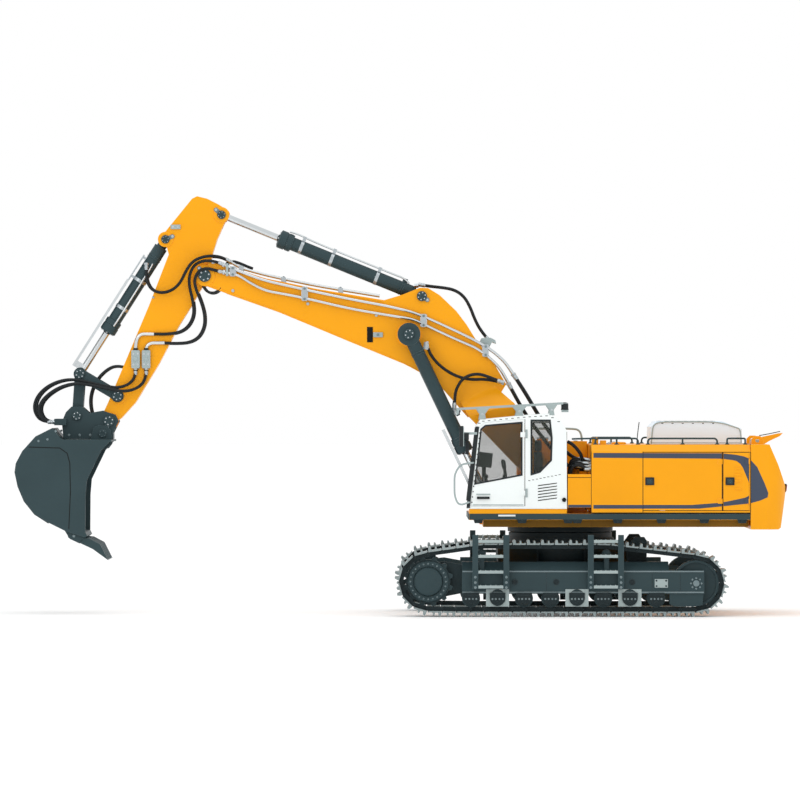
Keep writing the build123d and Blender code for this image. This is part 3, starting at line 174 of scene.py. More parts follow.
# The edge colours are lighter than the base: a painted highlight on the paints and the black plastic, bright wear on
# the steels.
FINISHES = {
    "yellow_paint": finish_material("yellow_paint_coat", YELLOW, 0.34, edge=linear(255, 205, 90), coat=0.06,
                                    spread=0.03),
    "slate_paint": finish_material("slate_paint_coat", SLATE, 0.46, edge=linear(120, 138, 142), spread=0.08),
    "grey_paint": finish_material("grey_paint_coat", GREY, 0.42, edge=linear(205, 214, 214), spread=0.05),
    "white_paint": finish_material("white_paint_coat", linear(238, 244, 243), 0.3, edge=linear(255, 255, 255),
                                   coat=0.3, spread=0.015),
    "chrome_rod": finish_material("polished_rod", linear(205, 210, 212), 0.16, metallic=1.0, grain=2400.0,
                                  depth=0.00001),
    "track_steel": finish_material("track_cast_steel", linear(142, 154, 155), 0.42, metallic=0.75, grain=520.0,
                                   depth=0.00012, edge=linear(225, 230, 230), spread=0.16, streak=0.35),
    "pin_steel": finish_material("zinc_steel", linear(176, 184, 188), 0.3, metallic=0.9, edge=linear(235, 238, 240)),
    "cab_glass": glass_material("tinted_glass", linear(60, 66, 60), 0.22),
    "black_rubber": finish_material("hose_rubber", linear(30, 34, 36), 0.55, grain=1500.0, depth=0.0001,
                                    spread=0.2),
    "black_plastic": finish_material("black_plastic_grain", linear(38, 43, 45), 0.5, grain=1300.0, depth=0.00008,
                                     edge=linear(84, 92, 94), spread=0.12),
    "battery_wrap": finish_material("battery_shrink_wrap", linear(38, 70, 130), 0.38, spread=0.1),
    "circuit_board": finish_material("circuit_board_mask", linear(24, 82, 52), 0.4, spread=0.15),
}
# Lighter copy of the slate paint: a painted highlight, for the frame's edge strips, bolts and small plates.
SLATE_HIGHLIT = finish_material("slate_paint_highlit", linear(112, 128, 132), 0.42, edge=linear(170, 182, 184),
                              spread=0.12)
# Darker copy of the slate paint: a painted shade, for parts under the house, between and low on the tracks, and for
# seams.
SHADED_SLATE = finish_material("slate_paint_shaded", linear(30, 42, 45), 0.5, edge=linear(84, 98, 102), spread=0.1)
HOOD_WHITE = finish_material("hood_paint", linear(226, 240, 252), 0.34, edge=linear(255, 255, 255),
                             spread=0.012)
STRIPE_PAINT = finish_material("stripe_film", linear(66, 75, 92), 0.36, spread=0.03)
GAP_DARK = finish_material("seam_shadow", linear(22, 22, 20), 0.8)
LAMP_CLEAR = finish_material("lamp_lens", linear(226, 232, 232), 0.12, grain=600.0, depth=0.0002, coat=0.5)
LAMP_RED = finish_material("lamp_lens_red", linear(190, 34, 22), 0.15, grain=700.0, depth=0.0002, coat=0.5)
# Darker yellow for the deck's inset underside: a painted shade, with dirt streaks on it.
SHADED_UNDERSIDE = finish_material("underside_shaded_paint", linear(128, 92, 10), 0.5, spread=0.12, streak=0.4)
SEAT_CLOTH = finish_material("seat_fabric", linear(48, 52, 56), 0.85, grain=2600.0, depth=0.00015, spread=0.18)
YELLOW_PAINT = FINISHES["yellow_paint"]
SLATE_PAINT = FINISHES["slate_paint"]
GREY_PAINT = FINISHES["grey_paint"]
CHROME = FINISHES["chrome_rod"]
ZINC = FINISHES["pin_steel"]
RUBBER = FINISHES["black_rubber"]
PLASTIC = FINISHES["black_plastic"]
SLOT_OF = {finish.name: slot for slot, finish in FINISHES.items()}
for finish, slot in ((SLATE_HIGHLIT, "slate_paint"), (SHADED_SLATE, "slate_paint"), (STRIPE_PAINT, "slate_paint"),
                     (GAP_DARK, "black_plastic"), (SEAT_CLOTH, "black_plastic"), (LAMP_CLEAR, "white_paint"),
                     (LAMP_RED, "yellow_paint"), (SHADED_UNDERSIDE, "yellow_paint")):
    SLOT_OF[finish.name] = slot


# ---- carried-over CAD nodes ----
SLOT = {part["node"]: part["material_slot"] for part in frame["record"]["subparts"]}
PLAIN_EDGED = {"left_track_links", "right_track_links", "track_rollers", "boom_pipes", "deck_handrails",
               "cab_rails"}


def dress_node(name, width):
    """Gives a CAD node its finish, and rounds its hard edges without changing its mesh."""
    node = NODES[name]
    node.data.materials.clear()
    node.data.materials.append(FINISHES[SLOT[name]])
    if not width:
        return
    weld = node.modifiers.new("weld", "WELD")
    weld.merge_threshold = 0.00001
    flat = node.modifiers.new("flat", "DECIMATE")
    flat.decimate_type = "DISSOLVE"
    flat.angle_limit = math.radians(1.0)
    edge = node.modifiers.new("edge", "BEVEL")
    edge.width = width * MM
    edge.segments = 2
    edge.limit_method = "ANGLE"
    edge.angle_limit = math.radians(32)
    edge.harden_normals = True


def dress_nodes():
    """Finishes for all carried-over nodes; the slew ring, centre frame and track links get a darker one than their
    slot's, a painted shade, and the engine hood a whiter one.
    """
    for name in NODES:
        dress_node(name, 0.0 if name in PLAIN_EDGED else 0.35)
    # painted shade: the darker copy of the slate paint goes on these nodes
    darker = ("slew_ring", "centre_frame", "left_track_links", "right_track_links")
    for names, finish in ((darker, SHADED_SLATE), (("engine_hood",), HOOD_WHITE)):
        for name in names:
            NODES[name].data.materials.clear()
            NODES[name].data.materials.append(finish)


# ---- geometry helpers ----
BOTH, LEFT, RIGHT = (-1, 1), (-1,), (1,)  # signs of y
AS_GIVEN = RIGHT
OUTWARD, UP, FORWARD = (0, 1, 0), (0, 0, 1), (-1, 0, 0)


def link_object(name, data):
    """New object in the scene that holds the data."""
    made = bpy.data.objects.new(name, data)
    bpy.context.scene.collection.objects.link(made)
    return made


def meshed(name, shape, finish, turn):
    """Object made from a bmesh (in metres), smooth except where it turns by more than turn degrees."""
    bmesh.ops.recalc_face_normals(shape, faces=shape.faces)
    mesh = bpy.data.meshes.new(name)
    shape.to_mesh(mesh)
    shape.free()
    mesh.shade_smooth()
    mesh.set_sharp_from_angle(angle=math.radians(turn))
    mesh.materials.append(finish)
    return link_object(name, mesh)


def revolve(shape, base, direction, profile, steps):
    """Solid of revolution about a direction; profile is (distance along, radius)."""
    turn = Vector(direction).to_track_quat("Z", "Y").to_matrix().to_4x4()
    place = Matrix.Translation(Vector(base) * MM) @ turn
    rings = []
    for distance, radius in profile:
        angles = [2 * math.pi * k / steps for k in range(steps if radius else 1)]
        spots = [Vector((radius * math.cos(a) * MM, radius * math.sin(a) * MM, distance * MM)) for a in angles]
        rings.append([shape.verts.new(place @ spot) for spot in spots])
    for low, high in zip(rings, rings[1:]):
        for k in range(steps):
            corners = low[:] if len(low) == 1 else [low[k - 1], low[k]]
            corners += high[:] if len(high) == 1 else [high[k], high[k - 1]]
            shape.faces.new(corners)
    for ring in (rings[0], rings[-1]):
        if len(ring) > 1:
            shape.faces.new(ring)


class Trim:
    """One piece in the making, in millimetres. What is added is made on the machine's two sides, with y
    as the distance from its middle, or on one side. AS_GIVEN makes it once, where its own y says."""

    def __init__(self, name, finish, body, bevel=0.0, turn=32.0, slot=None, sides=BOTH):
        self.name, self.finish, self.body, self.bevel, self.turn = name, finish, body, bevel, turn
        self.slot = slot or SLOT_OF[finish.name]
        self.sides = sides
        self.shape = bmesh.new()

    def plate(self, outline, near, far, sides=None):
        """Plate with an outline of (x, z). An empty outline makes nothing."""
        if not outline:
            return
        new_vert, new_face = self.shape.verts.new, self.shape.faces.new
        for side in sides or self.sides:
            a, b = ([new_vert((x * MM, side * y * MM, z * MM)) for x, z in outline] for y in (near, far))
            new_face(a)
            new_face(b[::-1])
            for k in range(len(outline)):
                new_face((a[k - 1], a[k], b[k], b[k - 1]))

    def box(self, low, high, sides=None):
        """Block between two corners."""
        outline = [(low[0], low[2]), (high[0], low[2]), (high[0], high[2]), (low[0], high[2])]
        self.plate(outline, low[1], high[1], sides)

    def turned(self, spot, profile, steps=24, along=OUTWARD, sides=None):
        """Solid of revolution that points away from the machine's middle, or along a direction."""
        for side in sides or self.sides:
            base, direction = (spot[0], side * spot[1], spot[2]), (along[0], side * along[1], along[2])
            revolve(self.shape, base, direction, profile, steps)

    def bolt(self, spot, size=1.3, along=OUTWARD, sides=None):
        """Hexagon head on a washer; size is half the head's width."""
        self.turned(spot, [(-0.2, size * 1.45), (size * 0.22, size * 1.45)], 18, along, sides)
        head = [(size * 0.2, size * 1.12), (size * 0.9, size * 1.12), (size * 1.05, size * 0.86)]
        self.turned(spot, head, 6, along, sides)

    def done(self):
        """Makes the piece, which rides on its body."""
        piece = meshed(self.name, self.shape, self.finish, self.turn)
        if self.bevel:
            edge = piece.modifiers.new("edge", "BEVEL")
            edge.width = self.bevel * MM
            edge.segments = 3
            edge.limit_method = "ANGLE"
            edge.angle_limit = math.radians(self.turn)
            edge.harden_normals = True
        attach(piece, self.body)
        return piece


def done(*trims):
    """Makes the pieces, in this order."""
    return [trim.done() for trim in trims]


def ring_of(centre, radius, count, phase=0.0):
    """Spots (x, z) round a centre."""
    angles = [phase + 2 * math.pi * k / count for k in range(count)]
    return [(centre[0] + radius * math.cos(angle), centre[1] + radius * math.sin(angle)) for angle in angles]


def route_curve(name, points, radius):
    """Smooth NURBS line through a route of points in millimetres, with a round section."""
    curve = bpy.data.curves.new(name, "CURVE")
    curve.dimensions = "3D"
    spline = curve.splines.new("NURBS")
    spline.points.add(len(points) - 1)
    for control, point in zip(spline.points, points):
        control.co = [value * MM for value in point] + [1.0]
    spline.order_u = 3
    spline.use_endpoint_u = True
    curve.resolution_u = 8
    curve.bevel_depth = radius * MM
    curve.bevel_resolution = 5
    curve.use_fill_caps = True
    return curve


def line_piece(name, routes, radius, finish, body=None):
    """One piece of round tubes that follow routes. It rides on the body, if that is given."""
    shape = bmesh.new()
    for route in routes:
        holder = link_object(name + "_line", route_curve(name, route, radius))
        bpy.context.view_layer.update()
        solid = bpy.data.meshes.new_from_object(holder.evaluated_get(bpy.context.evaluated_depsgraph_get()))
        shape.from_mesh(solid)
        bpy.data.objects.remove(holder)
    bmesh.ops.remove_doubles(shape, verts=shape.verts, dist=WELD_DISTANCE)
    piece = meshed(name, shape, finish, 50)
    if body:
        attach(piece, body)
    return piece


def level(y, points):
    """Route from points (x, z) at one distance from the machine's middle."""
    return [(x, y, z) for x, z in points]


def both(routes):
    """The routes, and the same on the machine's other side."""
    return routes + [[(x, -y, z) for x, y, z in route] for route in routes]


# ---- hoses ----
HOSE_R = 1.9
PORT_FACE, PORT_Z = -620.9, 235.0
HOUSE_LINES = [
    [(-58, 30.5, 294), (-50, 32.1, 282), (-40, 33, 266), (-29, 33, 247), (-18, 33, 229.5), (-6, 33, 212),
     (8, 33, 197), (22, 33, 188), (35.2, 33, 188)],
    [(-64, 26.8, 283), (-57.25, 27.4, 270.25), (-47, 27.4, 252), (-34, 27.2, 232), (-20, 27, 213.5),
     (-7, 27, 197.5), (6, 27, 183.5), (20, 27, 176), (35.2, 27, 176)],
]
CYLINDER_LINES = [
    [(-165, 34.5, 333), (-162, 34.5, 321), (-151, 33, 306), (-133, 31, 293), (-112, 30.2, 286.5), (-90, 31, 288),
     (-70, 32, 283)],
    [(-130.3, 34.5, 250.5), (-130.1, 34.5, 262), (-128.4, 34.6, 276), (-119, 35, 290), (-102, 35.2, 295),
     (-85, 36, 289), (-70, 36.5, 283)],
    [(-174, 5, 404), (-162, 5, 402), (-147, 5, 400.5), (-131, 5, 398), (-118.5, 5.4, 390), (-110.5, 6, 376),
     (-105, 6.6, 361), (-97, 7, 346), (-86, 7, 333.5)],
]
CURL_LINE = [(-404.1, 14, 431.06), (-412.5, 14, 435.96), (-424, 19.5, 439), (-438, 26, 438), (-451.5, 30.5, 432),
             (-460, 30.5, 419), (-466, 28, 406), (-475.5, 24, 397), (-488, 20.5, 393), (-500.5, 17.5, 396),
             (-507.5, 14, 406), (-508.5, 11.5, 418), (-508.5, 10.8, 430)]
FRONT_LINE = [(-412.1, 25.2, 427.54), (-421, 25.2, 431.36), (-436, 26.5, 433.5), (-449, 27, 428.5),
              (-455.5, 26, 415), (-455.5, 24.5, 401), (-451, 22, 384), (-449.5, 20, 367), (-456, 18.4, 352.5),
              (-468, 17.6, 344.5), (-484, 17.5, 342.7), (-503, 17.5, 343.1), (-521.5, 17.5, 342.6),
              (-521.5, 17.5, 323)]
REAR_LINE = [(-412.1, 25.2, 418.52), (-422, 25.2, 420.375), (-434, 26.8, 424), (-444.5, 27, 420),
             (-449.5, 26.5, 409), (-447, 25, 397), (-441, 23, 383), (-436.5, 21.3, 367), (-436.8, 20, 352),
             (-443.5, 18.6, 339), (-455, 17.8, 332.5), (-471, 17.5, 331.3), (-489, 17.5, 332),
             (-508.5, 17.5, 332), (-508.5, 17.5, 323)]
COUPLER_LINES = [
    [(-521.5, 17.5, 301), (-521.5, 17.5, 291.5), (-528, 21, 282), (-542, 24.8, 276.5), (-560, 26.6, 279),
     (-580, 27.5, 284), (-601, 27.5, 288), (-621, 27, 283.5), (-637, 26, 273), (-645.5, 25, 259), (-645, 24, 246),
     (-636, 22.2, PORT_Z), (PORT_FACE, 22.2, PORT_Z)],
    [(-508.5, 17.5, 301), (-508.5, 17.5, 289), (-516, 21.5, 278), (-532, 28, 272), (-551, 31, 275),
     (-572, 31.8, 279.5), (-593, 32, 283), (-613, 31.4, 278.5), (-629, 30.4, 268.5), (-638.5, 29.2, 257.5),
     (-639.5, 27.8, 246), (-632, 26.4, PORT_Z), (PORT_FACE, 26.4, PORT_Z)],
]
INNER_LINE = [(-537, 11, 302.5), (-546.5, 11, 304.6), (-559, 11, 298), (-570, 11, 286), (-576.5, 11, 270.5),
              (-577.5, 11, 256), (-574, 11, 240), (-574, 11, 222.1)]
# name, routes, bodies, where the bend starts and ends (x, z), CAD node
BENDING_HOSES = [
    ("boom_foot_hoses", HOUSE_LINES, ("boom", "house"), (-50, 276), (20, 182), "boom_hoses"),
    ("bucket_cylinder_hoses", [CURL_LINE], ("boom", "stick"), (-425, 436), (-485, 400), "stick_hoses"),
    ("valve_hoses", [FRONT_LINE, REAR_LINE], ("boom", "stick"), (-425, 436), (-460, 360), "stick_hoses"),
    ("coupler_loop_hoses", COUPLER_LINES, ("stick", "bucket"), (-590, 290), (-640, 245), "coupler_hoses"),
    ("coupler_inner_hoses", [INNER_LINE], ("stick", "bucket"), (-572, 284), (-576, 224), "coupler_hoses"),
]


def ferrules(name, routes, body, first=True, last=True):
    """Crimped sleeve and nut at the ends of hoses."""
    fittings = Trim(name, ZINC, body, turn=35)
    nut = [(-0.6, 2.7), (-0.3, 3.1), (2.0, 3.1), (2.3, 2.7)]
    sleeve = [(2.2, 2.3), (3.0, 2.45), (3.6, 2.2), (4.2, 2.45), (6.6, 2.45), (7.0, 2.2), (7.6, 2.45), (8.2, 2.15)]
    for route in routes:
        for wanted, spot, toward in ((first, route[0], route[1]), (last, route[-1], route[-2])):
            if wanted:
                line = Vector(toward) - Vector(spot)
                fittings.turned(spot, nut, 6, line)
                fittings.turned(spot, sleeve, 18, line)
    done(fittings)


def build_hoses():
    """The hoses between and on the bodies, with their ends and the elbows at the valves."""
    for name, lines, bodies, start, end, node in BENDING_HOSES:
        hoses = line_piece(name, both(lines), HOSE_R, RUBBER)
        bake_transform(hoses)
        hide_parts(node)
    cylinder_hoses = line_piece("cylinder_hoses", both(CYLINDER_LINES), HOSE_R, RUBBER, "boom")
    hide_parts("boom_hoses")
    ferrules("boom_hose_ends", HOUSE_LINES + CYLINDER_LINES, "boom", last=False)
    ferrules("boom_hose_tees", CYLINDER_LINES, "boom", first=False)
    ferrules("boom_tip_hose_ends", [CURL_LINE, FRONT_LINE, REAR_LINE], "boom", last=False)
    ferrules("stick_hose_ends", [CURL_LINE] + [route[::-1] for route in COUPLER_LINES], "stick", first=False)
    ferrules("coupler_hose_ends", COUPLER_LINES, "bucket", first=False)
    elbows = []
    for route in (FRONT_LINE, REAR_LINE):
        x, y, z = route[-2]
        elbows.append([(x + 22.5, y, z + 0.2)] + route[-3:])
    line_piece("valve_elbows", both(elbows), HOSE_R + 0.25, CHROME, "stick")


# ---- tracks ----
TRACK_Y, FRAME_FACE = 118.0, 134.0
ROLLER_X = [-111.0 + 32.0 * k for k in range(8)]
GUARDED_ROLLERS = (1, 4, 6)
LADDERS = ((-109.5, -65.0), (30.0, 73.5))


def roller_caps():
    """Half-round bearing caps with a ledge, a plug and four bolts, in front of each roller."""
    caps = Trim("roller_caps", SHADED_SLATE, "undercarriage", 0.35)
    bolts = Trim("roller_cap_bolts", SLATE_HIGHLIT, "undercarriage")
    half, middle, low, top = 9.4, 22.4, 25.6, 28.9
    for k, x in enumerate(ROLLER_X):
        face = FRAME_FACE + (1.6 if k in GUARDED_ROLLERS else 0.0)
        turns = [math.pi * (1 + j / 16) for j in range(17)]
        round_part = [(x + half * math.cos(a), middle + half * math.sin(a)) for a in turns]
        caps.plate(round_part + [(x + half, top), (x - half, top)], face - 0.4, face + 1.6)
        caps.box((x - half, face - 0.4, low), (x + half, face + 2.6, top))
        caps.turned((x, face + 1.4, 16.2), [(0, 2.4), (0.7, 2.4), (1.1, 1.8)])
        for shift in (-6.3, -2.2, 2.2, 6.3):
            bolts.bolt((x + shift, face + 1.5, 21.4), 0.8)
    done(caps, bolts)


def frame_trim():
    """Lighter strips along the top and bottom of the frame face (a painted highlight on its rolled edges), seams,
    tensioner plate and bolts on the outside of the track frames.
    """
    light = Trim("frame_highlight_strips", SLATE_HIGHLIT, "undercarriage", 0.25)
    dark = Trim("frame_seams", SHADED_SLATE, "undercarriage")
    plate = Trim("tensioner_plates", GREY_PAINT, "undercarriage", 0.3)
    sunk = FRAME_FACE - 0.3
    # painted highlight: raised strips of the lighter slate where the frame's top and bottom edges catch the light
    for z, seam in ((29.4, 30.3), (54.6, 53.7)):
        light.box((-121.5, sunk, z - 0.8), (170.5, FRAME_FACE + 0.55, z + 0.8))
        dark.box((-121.5, FRAME_FACE - 0.2, seam - 0.3), (170.5, FRAME_FACE + 0.12, seam + 0.3))
    for x in (-20.0, 108.0, 142.0):
        dark.box((x - 0.35, sunk, 30.2), (x + 0.35, FRAME_FACE + 0.1, 53.8))
    plate.box((111, sunk, 35), (127, FRAME_FACE + 1.3, 45.5))
    for x in (113.2, 124.8):
        for z in (37, 43.5):
            dark.bolt((x, FRAME_FACE + 1.2, z), 0.8)
    for x in (-58.0, -8.0, 84.0):
        dark.turned((x, FRAME_FACE - 0.2, 42), [(0, 3.6), (0.9, 3.6), (1.1, 3.0), (0.6, 2.6)])
    axle = JOINTS["left_idler_turn"]
    for x, z in ring_of(axle, 6.4, 8):
        light.bolt((x, FRAME_FACE - 0.1, z), 0.8)
    light.turned((axle[0], FRAME_FACE - 0.2, axle[1]), [(0, 3.9), (1.4, 3.9), (2.0, 3.2)], 28)
    done(light, dark, plate)


def sprocket_covers():
    """Domed final-drive covers with a bolted rim; they turn with the sprockets."""
    dome = [(-0.6, 17.0), (0.4, 16.9), (1.3, 16.2), (1.9, 14.6), (2.2, 11.0), (2.4, 4.0), (2.4, 0)]
    rim = [(0, 17.6), (1.0, 17.6), (1.5, 18.4), (1.5, 24.0), (1.0, 24.6), (0, 24.6)]
    centre = JOINTS["left_track_drive"]
    for sides, name in ((LEFT, "left_sprocket"), (RIGHT, "right_sprocket")):
        cover = Trim(name + "_cover", SLATE_PAINT, name, turn=25, sides=sides)
        bolts = Trim(name + "_bolts", SLATE_HIGHLIT, name, sides=sides)
        cover.turned((centre[0], TRACK_Y + 13.0, centre[1]), dome, 64)
        cover.turned((centre[0], TRACK_Y + 8.6, centre[1]), rim, 64)
        for x, z in ring_of(centre, 21.5, 24):
            bolts.bolt((x, TRACK_Y + 10.0, z), 0.8)
        done(cover, bolts)


def ladder_trim():
    """Light ribbed treads and foot bolts on the boarding ladders."""
    treads = Trim("ladder_treads", GREY_PAINT, "undercarriage", 0.3)
    bolts = Trim("ladder_bolts", SLATE_HIGHLIT, "undercarriage")
    face, ribs = TRACK_Y + 26.6, 5
    for x_low, x_high in LADDERS:
        for z in (36, 54, 73, 91):
            treads.box((x_low + 7.2, face - 4.2, z - 1.6), (x_high - 7.2, face + 0.5, z + 1.9))
            for k in range(ribs):
                x = x_low + 10 + k * (x_high - x_low - 20) / (ribs - 1)
                treads.box((x - 0.5, face - 3.8, z + 1.7), (x + 0.5, face + 0.2, z + 2.6))
        for x in (x_low + 3.5, x_high - 3.5):
            for z in (35.5, 41.5, 48.0):
                bolts.bolt((x, face - 0.1, z), 1.1)
    done(treads, bolts)


def chain_covers():
    """Dark brackets above the chain, and the collars below and above the slew ring's gap; their darker slate is a
    painted shade.
    """
    brackets = Trim("chain_brackets", SHADED_SLATE, "undercarriage", 0.5)
    skirt = Trim("slew_skirt", SHADED_SLATE, "house")
    brackets.plate([(80, 62), (103, 62), (103, 91), (100, 95.5), (88, 95.5), (80, 84)], 88.0, 92.5)
    for x in (88, 98):
        brackets.bolt((x, 92.4, 88), 1.2)
    brackets.turned((0, 0, 93.0), [(0, 63.4), (6.6, 63.4), (7.0, 62.8)], 96, UP, AS_GIVEN)
    skirt.turned((0, 0, 100.85), [(0, 64.6), (6.0, 64.6), (6.8, 66.0)], 96, UP, AS_GIVEN)
    done(brackets, skirt)


# ---- house ----
SIDE_Y = 116.0
DECK_Z = 207.6
RAIL_Y = 104.76
DOORS = {-1: [(97.9, 193.1, "left_service_door"), (195.2, 226.0, "left_rear_door")],
         1: [(97.9, 193.1, "right_service_door")]}
HOUSE_SPANS = {-1: [(37.5, 97.4), (228.5, 251.0)], 1: [(37.5, 97.4), (193.8, 251.0)]}
# outer and inner edge of the band along the side, as (x, z)
STRIPE = [((37.5, 197.8), (37.5, 192)), ((192.6, 197.4), (192.6, 190.9)), ((210, 195.6), (206, 189.2)),
          ((220, 193.6), (211, 188)), ((227, 190.6), (215.5, 184.6)), ((236, 180.8), (218.6, 180.0)),
          ((245, 161), (225, 164.6)), ((249.5, 149.3), (228.7, 153.8)), ((248.6, 144), (227, 146.6)),
          ((240, 140.2), (222, 143.8)), ((227, 136.6), (214.3, 142)), ((192.6, 133), (192.6, 137.5)),
          ((165.6, 130.3), (156.6, 134.8)), ((37.5, 130.3), (37.5, 134.8))]
# hinge leaves of the rear door
LEAF_X, LEAF_Z, LEAF_HIGH = (221.2, 226.0), (136.3, 184.2), 6.0


def clipped(outline, axis, low, high):
    """The part of a convex outline between two values of a coordinate."""
    for limit, sign in ((low, 1), (high, -1)):
        kept = []
        for k, here in enumerate(outline):
            before = outline[k - 1]
            inside, was = sign * (here[axis] - limit) >= 0, sign * (before[axis] - limit) >= 0
            if inside != was:
                share = (limit - before[axis]) / (here[axis] - before[axis])
                kept.append([a + share * (b - a) for a, b in zip(before, here)])
            if inside:
                kept.append(here)
        outline = kept if len(kept) > 2 else []
    return outline


def stripe_film(name, side, x_low, x_high, body):
    """Film on one panel, with raised patches where it runs over a door's hinge leaves."""
    film = Trim(name, STRIPE_PAINT, body, sides=(side,))
    for (outer, inner), (next_outer, next_inner) in zip(STRIPE, STRIPE[1:]):
        stretch = [outer, next_outer, next_inner, inner]
        film.plate(clipped(stretch, 0, x_low, x_high), SIDE_Y - 0.05, SIDE_Y + 0.12)
        leaf = clipped(stretch, 0, *LEAF_X) if body == "left_rear_door" else []
        for z in LEAF_Z:
            film.plate(clipped(leaf, 1, z, z + LEAF_HIGH), SIDE_Y + 0.85, SIDE_Y + 1.08)
    bmesh.ops.remove_doubles(film.shape, verts=film.shape.verts, dist=WELD_DISTANCE)
    done(film)


def stripes():
    """The band along both sides, cut at the doors and the counterweight, and the step box's own."""
    for side, word in ((-1, "left"), (1, "right")):
        for k, span in enumerate(HOUSE_SPANS[side]):
            stripe_film(f"{word}_stripe_{k}", side, *span, "house")
        for x_low, x_high, body in DOORS[side]:
            stripe_film(f"{body}_stripe", side, x_low, x_high, body)
    panel = Trim("panel_stripe", STRIPE_PAINT, "house", sides=LEFT)
    panel.box((7.0, SIDE_Y - 0.05, 131.7), (34.4, SIDE_Y + 0.12, 135.0))
    done(panel)


def door_trim():
    """Latches and louvres, which move with their doors."""
    for side, doors in DOORS.items():
        for x, _, body in doors:
            latch = Trim(body + "_latch", PLASTIC, body, 0.4, sides=(side,))
            key = Trim(body + "_latch_key", SLATE_PAINT, body, 0.3, sides=(side,))
            latch.box((x + 2.4, SIDE_Y - 0.2, 158.8), (x + 13.2, SIDE_Y + 1.5, 168.2))
            key.box((x + 4.6, SIDE_Y, 160.6), (x + 11.0, SIDE_Y + 1.9, 166.4))
            key.turned((x + 7.8, SIDE_Y + 1.8, 163.5), [(0, 1.7), (0.5, 1.7), (0.6, 1.2), (0.2, 0.9)], 20)
            done(latch, key)
    louvres = Trim("rear_door_louvres", YELLOW_PAINT, "left_rear_door", 0.6, sides=LEFT)
    for z in (154.3, 164, 171.4, 179):
        slat = [(208.5, z - 1.3), (217.5, z - 1.3), (216.9, z + 1.3), (208.5, z + 1.3)]
        louvres.plate(slat, SIDE_Y - 0.1, SIDE_Y + 0.9)
    done(louvres)


def side_seams():
    """Dark joint lines round the doors and along the deck."""
    seams = Trim("panel_seams", GAP_DARK, "house")
    near, far = SIDE_Y - 1.0, SIDE_Y + 0.04
    for x in (97.5, 228.0):
        seams.box((x - 0.45, near, 125.8), (x + 0.45, far, 199.4))
    seams.box((193.5, near, 127.9), (194.9, far, 198.8), LEFT)
    seams.box((35.4, near, 124.5), (228.0, far, 125.4))
    seams.box((97.4, near, 127.4), (227.5, far, 127.9))
    seams.box((97.4, near, 198.5), (227.5, far, 199.1))
    seams.box((6.6, SIDE_Y - 0.5, 167.7), (34.4, SIDE_Y + 0.05, 168.4), LEFT)
    seams.box((5.8, SIDE_Y - 4, 131), (6.6, SIDE_Y - 0.2, 171.5), LEFT)
    seams.box((34.4, SIDE_Y - 4, 125.6), (35.3, SIDE_Y - 0.4, 199), LEFT)
    done(seams)


def deck_edges():
    """Grey band round the deck, its brackets in the darker slate, and the dark underside sheet; both darker colours
    are painted shade.
    """
    band = Trim("deck_band", SLATE_PAINT, "house", 0.3)
    dark = Trim("deck_brackets", SHADED_SLATE, "house", 0.3)
    under = Trim("deck_underside", SHADED_UNDERSIDE, "house", 0.3)
    strip = Trim("deck_light_strip", LAMP_CLEAR, "house", 0.2)
    band.box((-112.8, 113.6, 116.9), (227.6, 115.7, 124.0))
    band.box((-114.2, -113.6, 116.9), (-112.9, 113.6, 124.0), AS_GIVEN)
    strip.box((-78, 114.4, 120.8), (-57, 116.2, 123.0))
    for x in (-102, -49, 7, 18, 67, 120, 172, 218):
        dark.plate([(x - 6, 117.2), (x + 6, 117.2), (x + 4.4, 112.6), (x - 4.4, 112.6)], 104, 115.2)
        dark.bolt((x, 115.1, 114.8), 0.9)
    # painted shade: a thin darker-yellow sheet on the inset face below the deck
    under.box((-95.8, 99.6, 107.9), (225.8, 100.6, 116.2))
    done(band, dark, under, strip)


